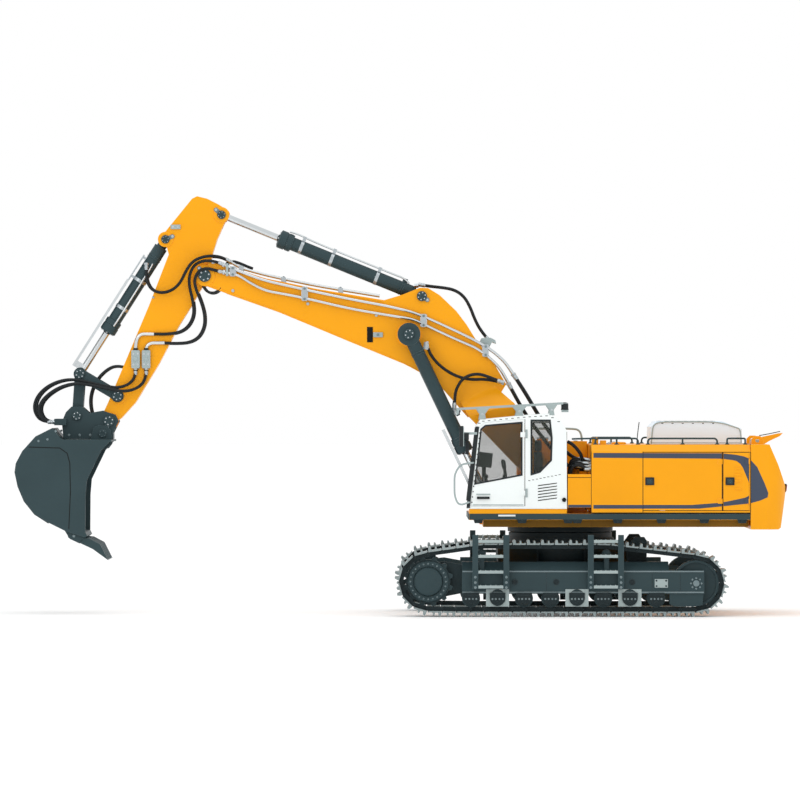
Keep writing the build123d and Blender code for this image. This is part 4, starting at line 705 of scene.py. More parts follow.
def deck_top():
    """Rail feet, rails, fillers, hood slots, rear box, antenna and the arm's rod."""
    feet = Trim("rail_feet", SLATE_PAINT, "house")
    for x in (40.0, 66.0, 92.0, 104.0, 146.0, 188.0, 200.0, 222.0):
        feet.turned((x, RAIL_Y, DECK_Z + 0.1), [(0, 2.8), (1.0, 2.8), (1.4, 1.8), (2.2, 1.5)], 20, UP)
    for x in (66.0, 146.0):
        feet.turned((x, RAIL_Y, DECK_Z + 0.4), [(0, 1.1), (7.2, 1.1)], 14, UP)
    lugs = Trim("deck_lugs", YELLOW_PAINT, "house", 0.8, sides=AS_GIVEN)
    for x_low, x_high, top in ((36, 44, 216.4), (46, 53.5, 213.0)):
        lugs.box((x_low, -101, DECK_Z), (x_high, -86, top))
    lugs.turned((70, -60, DECK_Z), [(0, 9), (2, 9), (3, 8), (3.4, 4)], 32, UP)
    slots = Trim("hood_slots", GAP_DARK, "house")
    for k in range(7):
        slots.box((122 + 12.4 * k, 61.6, 233.0), (124.4 + 12.4 * k, 62.14, 233.8))
    slots.box((109.4, 61.6, 209.4), (219.6, 62.14, 209.9))
    for k in range(9):
        slots.box((120 + 8 * k, -44, 235.8), (124.6 + 8 * k, 44, 236.16), AS_GIVEN)
    rear_box = Trim("rear_box", GREY_PAINT, "house", 0.7, sides=AS_GIVEN)
    rear_box.box((234.4, -21, 209.6), (248.9, 21, 213.4))
    done(feet, lugs, slots, rear_box)
    rail = [(200, DECK_Z), (200, 213.6), (200.4, 215.2), (202.5, 215.4), (219.5, 215.4), (221.6, 215.2),
            (222, 213.6), (222, DECK_Z)]
    hood_edge = [(109.4, 209), (111.0, 222), (111.6, 230.6), (118.5, 235.4), (150, 235.4), (192, 235.4),
                 (213, 228.7), (219.2, 226.2), (219.6, 209)]
    front = level(-RAIL_Y, [(11.5, 214.7), (24, 215.2), (41, 215.3)])
    arm_rod = level(88, [(249.6, 217.8), (262, 219.8), (275.6, 223)])
    antenna = level(-58, [(92, 207), (92.4, 216), (95, 235)])
    line_piece("rear_deck_rails", both([level(RAIL_Y, rail)]), 1.1, SLATE_PAINT, "house")
    line_piece("front_deck_rail", [front], 1.1, SLATE_PAINT, "house")
    line_piece("hood_edge_rails", both([level(62.5, hood_edge)]), 0.75, GREY_PAINT, "house")
    line_piece("rear_arm_rod", [arm_rod, antenna], 0.55, PLASTIC, "house")


def counterweight_trim(seams, lens):
    """Rear lamps, tie-down eyes, joints on top and the lower lip."""
    lamps = Trim("rear_lamps", LAMP_RED, "house", 0.4)
    lip = Trim("counterweight_lip", YELLOW_PAINT, "house", 0.8, sides=AS_GIVEN)
    glass = [(270.6, 151), (272.6, 151), (273.6, 159), (271.6, 159)]
    seams.plate([(268.2, 150), (271.8, 150), (272.9, 160), (269.4, 160)], 78, 98)
    lens.plate(glass, 80, 88)
    lamps.plate(glass, 89, 96.5)
    for x, z in ((268.6, 132), (263.4, 176)):
        seams.turned((x, 40, z), [(-3, 4.2), (1.6, 4.2), (1.8, 3.6), (0.4, 3.2)], 28, (1, 0, 0))
    seams.box((228.2, -114, DECK_Z), (229.0, 114, DECK_Z + 0.56), AS_GIVEN)
    seams.box((228.4, 35.6, DECK_Z + 0.1), (250.4, 36.4, DECK_Z + 0.52))
    lip.plate([(260, 113), (266.8, 113), (268.1, 120), (260, 120)], -70, 70)
    done(lamps, lip)


def right_side_trim(seams, lens, zinc):
    """Tank hatch, steps with tread pads, headlamps and the walkway's rail."""
    pads = Trim("tread_pads", PLASTIC, "house", 0.25, sides=RIGHT)
    for x in (-30, 6):
        seams.box((x - 0.4, 115.4, 127), (x + 0.4, 116.1, 202), RIGHT)
    for low, high in ((127, 127.7), (201.4, 202)):
        seams.box((-29.6, 115.4, low), (5.6, 116.1, high), RIGHT)
    zinc.box((-27, 115.8, 160), (-20, 117.2, 168))
    for z in (136, 188):
        zinc.turned((5.0, 116.6, z), [(0, 1.0), (8, 1.0)], 16, UP)
    for k in range(6):
        pads.box((-102 + 8.0 * k, 53, 151.8), (-97 + 8.0 * k, 112, 152.7))
        pads.box((-46 + 13.0 * k, 53, 210.8), (-42 + 13.0 * k, 104, 211.6))
    for z in (130, 141):
        pads.box((-108.4, 60, z), (-105.8, 106, z + 1.6))
        for y in (62, 104):
            zinc.bolt((-108.3, y, z + 0.8), 0.9, FORWARD)
    for y in (58, 106):
        seams.turned((-106.2, y, 146), [(-0.5, 4.6), (2.2, 4.6), (2.6, 4.2)], 28, FORWARD, RIGHT)
        lens.turned((-108.6, y, 146), [(0, 3.9), (0.8, 3.6), (1.1, 2.0)], 28, FORWARD, RIGHT)
    rail = [(-50, 151), (-50, 172), (-50.6, 186), (-49, 204), (-44, 224), (-36, 226.5), (20, 226.5), (27, 224),
            (30, 216), (30, 205)]
    line_piece("right_walkway_rail", [level(112, rail)], 1.3, GREY_PAINT, "house")
    done(pads)


def rear_and_right():
    """Trim on the sides that face away from the cab side, with the filler caps on the deck."""
    seams = Trim("house_dark_trim", GAP_DARK, "house")
    lens = Trim("lamp_lenses", LAMP_CLEAR, "house", 0.3)
    zinc = Trim("house_fittings", ZINC, "house", sides=AS_GIVEN)
    counterweight_trim(seams, lens)
    right_side_trim(seams, lens, zinc)
    tank_cap = [(0, 7.8), (1.2, 7.8), (2.2, 6.8), (2.2, 3.0), (4.4, 2.6), (4.6, 0)]
    small_cap = [(0, 5), (1.4, 5), (1.8, 4.2), (1.8, 2), (3.0, 1.8), (3.2, 0)]
    exhaust = [(0, 4.6), (2, 4.6), (2.4, 3.9), (12, 3.9), (12.4, 3.3), (11, 3.2)]
    zinc.turned((-20, 84, 213.8), tank_cap, 36, UP)
    for x, y in ((50, -75), (59, -45), (68, 70)):
        zinc.turned((x, y, DECK_Z), small_cap, 28, UP)
    zinc.turned((205, 84, DECK_Z + 0.1), exhaust, 32, UP)
    done(seams, lens, zinc)


def pump_bundle():
    """Black hoses that leave the engine bay behind the cab."""
    lines = []
    for k in range(7):
        y, z = -106.0 + 8.0 * k, 178.0 + 3.0 * (k % 4)
        lines.append([(35.6, y, z), (28, y, z + 1.0), (20, y + 1, z + 6.0 - k), (12, y + 4, z + 3),
                      (9.5, y + 7, z - 8), (9.0, y + 8, 160)])
    nuts = Trim("pump_bay_nuts", ZINC, "house", sides=AS_GIVEN)
    for line in lines:
        nuts.turned(line[0], [(-1, 3.2), (2.4, 3.2), (2.8, 2.7)], 6, FORWARD)
        nuts.turned(line[0], [(2.6, 2.5), (8, 2.5), (8.6, 2.2)], 18, FORWARD)
    done(nuts)
    lines.append([(6.4, -96, 211.5), (11, -96, 209.5), (16, -95, 205), (20, -94, 200), (23, -93, 196),
                  (26, -90, 186)])
    line_piece("pump_bay_hoses", lines, 2.1, RUBBER, "house")


# ---- cab ----
CAB_Y = 116.0
CAB_RIGHT = 50.0
DOOR_PANE = [(-106.0, 160.4), (-49.5, 171.2), (-49.5, 234.6), (-93.4, 230.8), (-98.6, 226.5), (-101.6, 199.0)]
REAR_PANE = [(-37.5, 237.0), (-15.5, 237.0), (-13.2, 216.0), (-14.0, 189.0), (-27.6, 175.0), (-37.5, 172.0)]
RIGHT_PANE = [(-105.5, 150.0), (-12.0, 150.0), (-12.0, 235.0), (-93.0, 232.0), (-101.0, 224.0)]
ROOF_LINE = [(-105, 230), (-99.6, 238.6), (-43, 244), (-16, 245.6), (-1, 236)]


def grown(points, amount):
    """Outline of (x, z) moved outwards by amount, or inwards if negative."""
    area = sum(a[0] * b[1] - b[0] * a[1] for a, b in zip(points, points[1:] + points[:1]))
    sign = 1 if area > 0 else -1
    moved = []
    for k, here in enumerate(points):
        before, after = Vector(points[k - 1]), Vector(points[(k + 1) % len(points)])
        into, out = (Vector(here) - before).normalized(), (after - Vector(here)).normalized()
        side_a, side_b = Vector((into.y, -into.x)) * sign, Vector((out.y, -out.x)) * sign
        middle = (side_a + side_b).normalized()
        moved.append(tuple(Vector(here) + middle * amount / max(0.3, middle.dot(side_a))))
    return moved


def frame_ring(trim, outline, outward, y_low, y_high, inward=0.9):
    """Closed frame round an outline of (x, z)."""
    outer, inner = grown(outline, outward), grown(outline, -inward)
    rings = []
    for spots, y in ((outer, y_low), (inner, y_low), (inner, y_high), (outer, y_high)):
        rings.append([trim.shape.verts.new((x * MM, y * MM, z * MM)) for x, z in spots])
    for ring, following in zip(rings, rings[1:] + rings[:1]):
        for k in range(len(outline)):
            trim.shape.faces.new((ring[k - 1], ring[k], following[k], following[k - 1]))


def cab_gaskets():
    """Rubber round the panes, and the dark bands on the pillars."""
    seal = Trim("cab_gaskets", PLASTIC, "house", 0.25, sides=LEFT)
    door_seal = Trim("door_gasket", PLASTIC, "cab_door", 0.25)
    frame_ring(door_seal, DOOR_PANE, 1.1, -CAB_Y - 0.45, -CAB_Y + 0.9)
    frame_ring(seal, REAR_PANE, 1.3, -CAB_Y - 0.45, -CAB_Y + 0.9)
    frame_ring(seal, RIGHT_PANE, 1.1, 0.1 - CAB_RIGHT, 1.45 - CAB_RIGHT)
    seal.plate([(-116.5, 131), (-112.2, 131), (-100.9, 229.6), (-105.1, 229.9)], CAB_Y - 0.2, CAB_Y + 0.35)
    for low, high in ((110, 112), (53, 55)):
        seal.plate([(-116.2, 141), (-114.9, 141), (-104.3, 229), (-105.6, 229)], low, high)
    seal.plate([(-116.4, 140), (-115.0, 140), (-114.6, 143), (-116.0, 143)], 53, 112)
    seal.plate([(-105.9, 226.6), (-104.6, 226.6), (-104.3, 229), (-105.6, 229)], 53, 112)
    for low, high in ((107.6, 109.2), (55.8, 57.4)):
        seal.box((4.6, low, 179), (5.7, high, 223))
    for z in (178.6, 221.8):
        seal.box((4.6, 55.8, z), (5.7, 109.2, z + 1.6))
    done(seal, door_seal)


def cab_rivets():
    """Rivets on the front pillar, stitches along the roof and waist, louvres, seam and filler."""
    dots = Trim("cab_rivets", GAP_DARK, "house", sides=LEFT)
    for k in range(14):
        share = k / 13
        spot = (-109.9 + 9.6 * share, CAB_Y - 0.1, 138 + 84 * share)
        dots.turned(spot, [(0, 0.8), (0.4, 0.8), (0.6, 0.4)], 12)
    for (x_a, z_a), (x_b, z_b) in zip(ROOF_LINE, ROOF_LINE[1:]):
        steps = max(2, int(abs(x_b - x_a) / 6.5))
        for k in range(steps):
            share = (k + 0.5) / steps
            x, z = x_a + (x_b - x_a) * share, z_a + (z_b - z_a) * share - 2.6
            dots.box((x - 1.5, CAB_Y - 0.2, z - 0.4), (x + 1.5, CAB_Y + 0.12, z + 0.4))
    for k in range(9):
        x, z = -41.6 + 4.6 * k, 164.3 + 0.197 * 4.6 * k
        dots.box((x, CAB_Y - 0.2, z - 0.35), (x + 2.6, CAB_Y + 0.12, z + 0.35))
    for k in range(6):
        z = 139.5 + 3.6 * k
        dots.plate([(-30, z), (-7, z + 3.2), (-6.4, z + 4.3), (-29.4, z + 1.3)], CAB_Y - 0.2, CAB_Y + 0.2)
    dots.box((-45.7, CAB_Y - 0.5, 133.4), (-45.2, CAB_Y + 0.06, 238.8))
    dots.turned((2, CAB_Y - 0.3, 141), [(0, 2.6), (2.2, 2.6), (3.2, 1.7), (3.4, 0)])
    done(dots)


def cab_fittings():
    """Hinge leaves, door grip and strips, and the face of the plinth."""
    leaves = Trim("cab_hinge_leaves", GREY_PAINT, "house", 0.3, sides=LEFT)
    grip = Trim("door_grip", PLASTIC, "cab_door", 0.5, sides=LEFT)
    strips = Trim("door_strips", GREY_PAINT, "cab_door", 0.2, sides=LEFT)
    plinth = Trim("cab_plinth_face", YELLOW_PAINT, "house", 0.4, sides=LEFT)
    for z in (144.0, 215.6):
        leaves.box((-44.9, CAB_Y - 0.2, z), (-42.4, CAB_Y + 1.3, z + 10.6))
    grip.box((-103.7, CAB_Y + 0.9, 141.9), (-88.4, CAB_Y + 2.9, 144.9))
    grip.box((-103.7, CAB_Y - 0.2, 141.9), (-100.8, CAB_Y + 2.9, 144.9))
    strips.box((-104.5, CAB_Y - 0.2, 147.0), (-87.4, CAB_Y + 0.7, 148.4))
    strips.box((-108.4, CAB_Y - 0.2, 134.4), (-47.5, CAB_Y + 0.6, 135.4))
    plinth.box((-112.6, CAB_Y - 2.4, 124.2), (5.2, CAB_Y - 1.0, 129.9))
    done(leaves, grip, strips, plinth)


def roof_guard():
    """Thin rails on flared posts, joined by cross bars over the roof."""
    rails = Trim("roof_guard_rails", GREY_PAINT, "house", 0.4, sides=LEFT)
    bolts = Trim("roof_guard_bolts", ZINC, "house", sides=LEFT)
    front, slope = -128.7, 0.054
    for near, far in ((113.4, CAB_Y), (49, 51.6)):
        rails.plate([(front, 249.6), (0.9, 256.6), (0.9, 259.3), (front, 252.3)], near, far)
        for x, half, base in ((-97, 4.4, 238.0), (-52, 5.0, 242.4), (-13, 3.4, 243.4)):
            rail = 250.2 + (x - front) * slope
            mid = (base + rail) / 2
            rails.plate([(x - half, base), (x + half, base), (x + half * 0.72, mid), (x + half + 3.6, rail),
                         (x - half - 3.6, rail), (x - half * 0.72, mid)], near, far)
            bolts.bolt((x, far - 0.1, mid), 0.9)
        rails.plate([(front, 249.6), (-124.8, 249.8), (-126.0, 244.5), (front, 243.6)], near, far)
    for k in range(10):
        x = -126.4 + 13.9 * k
        z = 250.1 + (x - front) * slope
        rails.box((x, 51.4, z), (x + 2.4, 113.6, z + 1.9))
    guard, _ = done(rails, bolts)
    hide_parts("roof_guard")


def cab_lamps():
    """Beacon, work lamps on their stalks, mirrors and a pillar box."""
    dark = Trim("cab_lamp_bodies", PLASTIC, "house", 0.3, sides=LEFT)
    lens = Trim("cab_lamp_lenses", LAMP_CLEAR, "house", sides=LEFT)
    ahead = (-1, 0, -0.15)
    beacon = [(0, 4.7), (1.6, 4.7), (2.0, 4.4), (7.4, 4.4), (8.8, 3.4), (9.4, 1.4)]
    dark.turned((3.6, 82, 249.8), beacon, 32, UP)
    for y in (106, 94, 71, 59):
        dark.turned((-124.5, y, 247), [(0, 3.0), (3.2, 4.2), (4.4, 4.2)], 24, ahead)
        lens.turned((-128.6, y, 246.4), [(0, 3.8), (0.6, 3.5), (0.9, 1.8)], 24, ahead)
        dark.box((-125.5, y - 0.9, 247), (-123.5, y + 0.9, 250.5))
    dark.box((-125.1, 116.4, 205.4), (-120.4, 125.5, 230.6))
    dark.box((-121.5, 120, 214), (-113.5, 122, 222))
    dark.box((-117.6, 111.9, 196), (-113.4, 113.4, 212))
    done(dark, lens)


def cushion(name, low, high, round_share=0.32, crown=2.2):
    """Padded block with a crowned face and rounded sides, from low to high in millimetres."""
    pad = Trim(name, SEAT_CLOTH, "house", turn=180)
    bmesh.ops.create_cube(pad.shape, size=2.0)
    bmesh.ops.subdivide_edges(pad.shape, edges=pad.shape.edges, cuts=9, use_grid_fill=True)
    half = [(b - a) / 2 for a, b in zip(low, high)]
    centre = [(a + b) / 2 for a, b in zip(low, high)]
    thin = half.index(min(half))
    wide = [k for k in range(3) if k != thin]
    for vert in pad.shape.verts:
        unit = list(vert.co)
        ball = vert.co.normalized() * 1.25
        spot = [value * (1 - round_share) + ball[k] * round_share for k, value in enumerate(unit)]
        spot = [centre[k] + max(-1.0, min(1.0, spot[k])) * half[k] for k in range(3)]
        if abs(unit[thin]) == max(abs(value) for value in unit):
            waves = [math.cos(unit[k] * math.pi / 2) ** 0.5 for k in wide if abs(unit[k]) < 1]
            spot[thin] += math.copysign(math.prod(waves) * crown / 2, unit[thin])
        vert.co = [value * MM for value in spot]
    piece, = done(pad)
    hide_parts("operator_seat")


def cab_inside():
    """Seat with padded cushions on a bellows, monitor, levers, arm pads and pedals."""
    cushion("seat_cushion", (-62, -99, 147), (-30, -67, 156))
    cushion("seat_back", (-33, -98, 154), (-25, -68, 199))
    cushion("seat_headrest", (-32, -91, 200), (-25.5, -75, 213))
    hard = Trim("seat_frame", PLASTIC, "house", 0.5, sides=LEFT)
    grips = Trim("cab_levers", PLASTIC, "house", 0.3, sides=LEFT)
    hard.box((-60, 71, 143.6), (-31, 95, 147.2))
    for k in range(5):
        z, out = 133.0 + 2.1 * k, 1.6 * (k % 2)
        hard.box((-57 - out, 73 - out, z), (-33 + out, 93 + out, z + 2.0))
    hard.box((-30, 80, 196), (-28, 86, 204))
    hard.box((-25.4, 71, 152), (-23.4, 95, 192))
    hard.plate([(-102.5, 181), (-86, 179.6), (-84.2, 197.2), (-100.6, 199.4)], 102.4, 104.5)
    hard.box((-95, 102.6, 150), (-92.6, 104, 182))
    stick = [(0, 1.9), (3, 2.4), (8, 2.5), (11, 1.8), (12, 0)]
    boot = [(0, 3.6), (2, 3.3), (3, 2.2), (4.4, 2.4), (5.6, 1.6)]
    for y in (105.5, 60.5):
        grips.turned((-70, y, 178), stick, 18, (-0.15, 0, 1))
        grips.turned((-69, y, 166), boot, 20, (-0.1, 0, 1))
        for k in range(3):
            grips.box((-62 + 6 * k, y - 2, 165.8), (-58.6 + 6 * k, y + 2, 167.2))
    for y in (92, 80):
        grips.turned((-92, y, 167), [(0, 2.2), (2, 2.6), (4, 2.2), (4.6, 0)], 18, (-0.1, 0, 1))
        grips.box((-98, y - 5, 133), (-86, y + 5, 135.4))
    frame_piece, _ = done(hard, grips)
    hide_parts("operator_seat")


# ---- arm ----
# the arm's pivots as (x, z); the last three are opened in the joint tree, so they have no joint
PIVOT = {"foot": JOINTS["boom_lift"], "lift": JOINTS["boom_cylinder_swing"], "stick": JOINTS["stick_swing"],
         "rod": JOINTS["stick_rod_swing"], "curl": JOINTS["bucket_cylinder_swing"],
         "rocker": JOINTS["rocker_swing"], "tip": JOINTS["link_swing"], "bucket": JOINTS["bucket_curl"],
         "base": (-170.2, 389.4), "link": (-593.4, 242.6), "lift_foot": (-83.6, 129.2)}
# on each body: pivot, distance of the face from the middle, radius of the pin's head
PINS = {"house": [("foot", 47.0, 7.6)],
        "boom": [("stick", 24.5, 7.7), ("lift", 45.5, 6.4), ("base", 24.0, 6.2)],
        "stick": [("rod", 17.2, 5.2), ("curl", 17.2, 5.2), ("rocker", 21.6, 6.4)],
        "rocker": [("tip", 21.4, 6.0)],
        "bucket": [("bucket", 21.4, 6.6), ("link", 21.4, 5.6)]}
# pivot, direction of the plate, its reach, distance of the face from the middle
KEEPERS = {"boom": [("base", -0.6, 9.5, 22.0), ("stick", 2.2, 12.5, 22.0)],
           "stick": [("rod", 2.4, 10.5, 15.0), ("curl", 0.4, 10.5, 15.0)],
           "bucket": [("bucket", -1.9, 13.0, 20.0)]}


def pin_head(heads, bolts, centre, face, radius):
    """Capped pin end with a bolt ring, outside a side face."""
    profile = [(-0.6, radius), (1.0, radius), (1.6, radius - 0.7), (1.6, radius * 0.42), (1.1, radius * 0.36),
               (1.1, 0)]
    heads.turned((centre[0], face, centre[1]), profile, 36)
    for x, z in ring_of(centre, radius * 0.7, 6, 0.3):
        bolts.bolt((x, face + 1.5, z), radius * 0.085)


def keeper(plates, bolts, centre, angle, reach, face):
    """Locking plate that holds a pin, bolted beside it."""
    ux, uz = math.cos(angle), math.sin(angle)
    spots = [(2, -2.6), (reach, -2.6), (reach + 1.6, 0), (reach, 2.6), (2, 2.6)]
    outline = [(centre[0] + a * ux - b * uz, centre[1] + a * uz + b * ux) for a, b in spots]
    plates.plate(outline, face - 0.3, face + 1.7)
    away = reach - 1.2
    bolts.bolt((centre[0] + away * ux, face + 1.6, centre[1] + away * uz), 1.1)


def pin_heads():
    """The pins' ends on each body, with the plates that lock them."""
    for body, pins in PINS.items():
        heads = Trim(body + "_pin_heads", SLATE_PAINT, body, turn=30)
        bolts = Trim(body + "_pin_bolts", ZINC, body)
        for key, face, radius in pins:
            pin_head(heads, bolts, PIVOT[key], face, radius)
        if body in KEEPERS:
            plates = Trim(body + "_pin_keepers", SLATE_HIGHLIT, body, 0.3)
            for key, angle, reach, face in KEEPERS[body]:
                keeper(plates, bolts, PIVOT[key], angle, reach, face)
            done(plates)
        done(heads, bolts)


class Axis:
    """The line between two pivots, in the machine's upright plane."""

    def __init__(self, start, end):
        self.start = Vector(PIVOT[start])
        self.way = (Vector(PIVOT[end]) - self.start).normalized()
        self.heading = (self.way.x, 0, self.way.y)

    def at(self, distance, aside=0.0):
        """Point (x, z) at a distance from the start, moved to the left of travel."""
        return tuple(self.start + self.way * distance + Vector((-self.way.y, self.way.x)) * aside)

    def spot(self, distance, y=0.0, aside=0.0):
        """The same point at a distance y from the machine's middle, as (x, y, z)."""
        x, z = self.at(distance, aside)
        return (x, y, z)


LIFT_CYLINDER = Axis("lift", "lift_foot")
STICK_CYLINDER = Axis("base", "rod")
CURL_CYLINDER = Axis("curl", "tip")
# distance from a barrel's open end, and share of the gland's step outwards
GLAND = [(-17, 0.25), (-16.2, 1.3), (-11, 1.3), (-10.6, 0.7), (-9.6, 0.7), (-9.2, 1.5), (-1.0, 1.5), (0.0, 0.6)]
BARREL_R, ROD_HOLE = 8.3, 4.62


def cylinder_trim():
    """Stepped glands with their bolts, wiper rings and weld rings on the cylinders."""
    wiper_ring = [(-0.4, 6.2), (0.7, 6.2), (1.2, 5.4), (1.2, ROD_HOLE), (-0.4, ROD_HOLE)]
    weld_ring = [(0, BARREL_R - 0.3), (0.3, BARREL_R + 0.5), (1.3, BARREL_R + 0.5), (1.6, BARREL_R - 0.3)]
    jobs = (("boom_cylinder_barrels", LIFT_CYLINDER, 159.5, 34.5, 1.4),
            ("stick_cylinder_barrel", STICK_CYLINDER, 189.5, 0, 2.1),
            ("bucket_cylinder_barrel", CURL_CYLINDER, 134.5, 0, 1.3))
    for body, axis, length, y, extra in jobs:
        sides = BOTH if y else AS_GIVEN
        gland = Trim(body + "_gland", SLATE_PAINT, body, turn=28, sides=sides)
        bolts = Trim(body + "_gland_bolts", ZINC, body, sides=sides)
        wiper = Trim(body + "_wiper", PLASTIC, body, turn=28, sides=sides)
        steps = [(distance, BARREL_R + out * extra * 0.9 + 0.2) for distance, out in GLAND]
        profile = [(-17.4, BARREL_R - 0.4)] + steps + [(0.3, ROD_HOLE), (-2.0, ROD_HOLE)]
        gland.turned(axis.spot(length, y), profile, 40, axis.heading)
        wiper.turned(axis.spot(length, y), wiper_ring, 32, axis.heading)
        for aside, out in ring_of((0, 0), BARREL_R * 0.9, 8):
            bolts.bolt(axis.spot(length + 0.2, y + out, aside), 0.8, axis.heading)
        for distance in (24, 27):
            gland.turned(axis.spot(distance, y), weld_ring, 36, axis.heading)
        done(gland, bolts, wiper)


def strap(straps, axis, distance):
    """Band round a barrel."""
    straps.turned(axis.spot(distance), [(-2, 8.2), (-2, 8.9), (2, 8.9), (2, 8.2)], 36, axis.heading)


def lug(straps, axis, distance, low, high, half_long, half_wide):
    """Block beside a barrel, from low to high off its axis."""
    corners = ((-half_long, low), (half_long, low), (half_long, high), (-half_long, high))
    straps.plate([axis.at(distance + along, -out) for along, out in corners], -half_wide, half_wide)


def cylinder_pipes():
    """Thin silver lines beside the stick and bucket cylinder barrels, with their clamps."""
    straps = Trim("stick_cylinder_straps", ZINC, "stick_cylinder_barrel", 0.2, sides=AS_GIVEN)
    curl_straps = Trim("bucket_cylinder_straps", ZINC, "bucket_cylinder_barrel", 0.2, sides=AS_GIVEN)
    for distance in (60, 120, 160):
        strap(straps, STICK_CYLINDER, distance)
        lug(straps, STICK_CYLINDER, distance, 8, 14.2, 2, 5)
    for distance in (60, 100):
        strap(curl_straps, CURL_CYLINDER, distance)
    lug(curl_straps, CURL_CYLINDER, 48, 11.6, 13.2, 18, 5.2)
    for distance in (33, 60):
        lug(curl_straps, CURL_CYLINDER, distance, 7.6, 12, 1.6, 4)
    done(straps, curl_straps)
    route = ((180, 12.6), (172, 14.0), (150, 12.2), (90, 12.2), (40, 12.2), (28, 12.6), (20, 9.0))
    pipe = [STICK_CYLINDER.spot(distance, 3.0, -aside) for distance, aside in route]
    line_piece("stick_cylinder_pipes", both([pipe]), 1.15, CHROME, "stick_cylinder_barrel")
    route = ((34, 7.4), (38, 8.6), (52, 9.6), (90, 9.6), (118, 10.6), (124, 9.2))
    pipe = [CURL_CYLINDER.spot(distance, aside + 0.6, aside * 0.35) for distance, aside in route]
    line_piece("bucket_cylinder_pipes", both([pipe]), 1.15, CHROME, "bucket_cylinder_barrel")


def boom_clamps():
    """Pipe clamps, brackets, plugs and the slot plate on the boom."""
    zinc = Trim("boom_pipe_clamps", ZINC, "boom", 0.5)
    bolts = Trim("boom_clamp_bolts", SLATE_HIGHLIT, "boom", slot="pin_steel")
    slot_plate = Trim("boom_slot_plates", GAP_DARK, "boom")
    grey = Trim("boom_brackets", GREY_PAINT, "boom", 0.5)
    for x, z_low, z_high in ((-402, 413.5, 426), (-314, 383.5, 401), (-168, 351.5, 367.5), (-92, 315, 330)):
        zinc.box((x - 3.2, 22.6, z_low), (x + 3.2, 27.6, z_high))
        for z in (z_low + 2.4, z_high - 2.4):
            bolts.bolt((x, 27.5, z), 1.1)
    slot_plate.box((-237.4, 21.6, 332.8), (-230.3, 22.5, 351.6))
    grey.box((-230, 21.6, 339), (-218, 24.4, 345))
    bolts.bolt((-224, 24.3, 342), 1.2)
    for x, z in ((-402, 396), (-310, 380), (-226, 366)):
        zinc.turned((x, 22, z), [(0, 2.0), (1.0, 2.0), (1.4, 1.4)], 20)
    for x, z in ((-392, 424.5), (-340, 410.5), (-270, 397.5)):
        zinc.plate([(x - 3, z - 5), (x + 3, z - 5.8), (x + 3, z + 2.0), (x - 3, z + 2.8)], 3, 17)
        bolts.bolt((x, 10, z + 2.2), 1.2, (0.2, 0, 1))
    bracket = [(-100, 331), (-90, 322), (-84, 333), (-79, 331), (-80, 335.5), (-86, 338.5), (-97, 338)]
    grey.plate(bracket, -20, 20, AS_GIVEN)
    grey.plate([(-410.5, 414), (-407.4, 414), (-407.4, 429.5), (-410.5, 429.5)], 21.8, 28.8)
    zinc.turned((-424, 24.5, 431.4), [(0, 2.6), (4, 2.6)], 6, FORWARD)
    done(zinc, bolts, slot_plate, grey)


def boom_trim():
    """Cylinder ports, weld beads, hose loops at the tip and bosses round the boom's pins."""
    boom_clamps()
    barrel_ports = Trim("boom_cylinder_ports", ZINC, "boom_cylinder_barrels")
    stick_ports = Trim("stick_cylinder_ports", ZINC, "stick_cylinder_barrel")
    for spot, along in (((-165.4, 34.5, 327), (0.2, 0, 1)), ((-130.3, 34.5, 246), (0.05, 0, 1))):
        barrel_ports.turned(spot, [(-3, 3.6), (4.0, 3.6), (4.6, 3.0)], 6, along)
    stick_ports.turned((-175.6, 5, 402.6), [(-4, 3.0), (1.0, 3.0), (1.4, 2.4)], 6, (1, 0, 0.1))
    bosses = Trim("boom_bosses", YELLOW_PAINT, "boom", turn=25)
    for key, y, radius, out, step, bore in (("foot", 40, 14.4, 1.2, 0.6, 9), ("lift", 22, 14.8, 1.4, 0.6, 8),
                                            ("stick", 21.8, 12.8, 0.9, 0.4, 8)):
        profile = [(-0.4, radius), (out, radius), (out + step, radius - 0.8), (out + step, bore)]
        bosses.turned((PIVOT[key][0], y, PIVOT[key][1]), profile, 44)
    done(barrel_ports, stick_ports, bosses)
    lower = [(-428, 401.6), (-345, 371.6), (-259.5, 335.6), (-184.5, 305.2), (-150, 283)]
    upper = [(-400, 420.6), (-361.6, 409.4), (-300.4, 396.8), (-216.5, 382.6)]
    top_loop = [(-412.5, 427.6), (-407.5, 431.8), (-401, 432.4), (-393, 429.8), (-385, 426.2), (-378, 423.6)]
    low_loop = [(-439, 403), (-436, 396.5), (-429, 393), (-421, 394.4), (-416.5, 400)]
    line_piece("boom_tip_loops", both([level(10, top_loop), level(20.4, low_loop)]), 1.7, RUBBER, "boom")
    line_piece("boom_weld_beads", both([level(22.1, lower), level(22.1, upper)]), 0.5, YELLOW_PAINT, "boom")


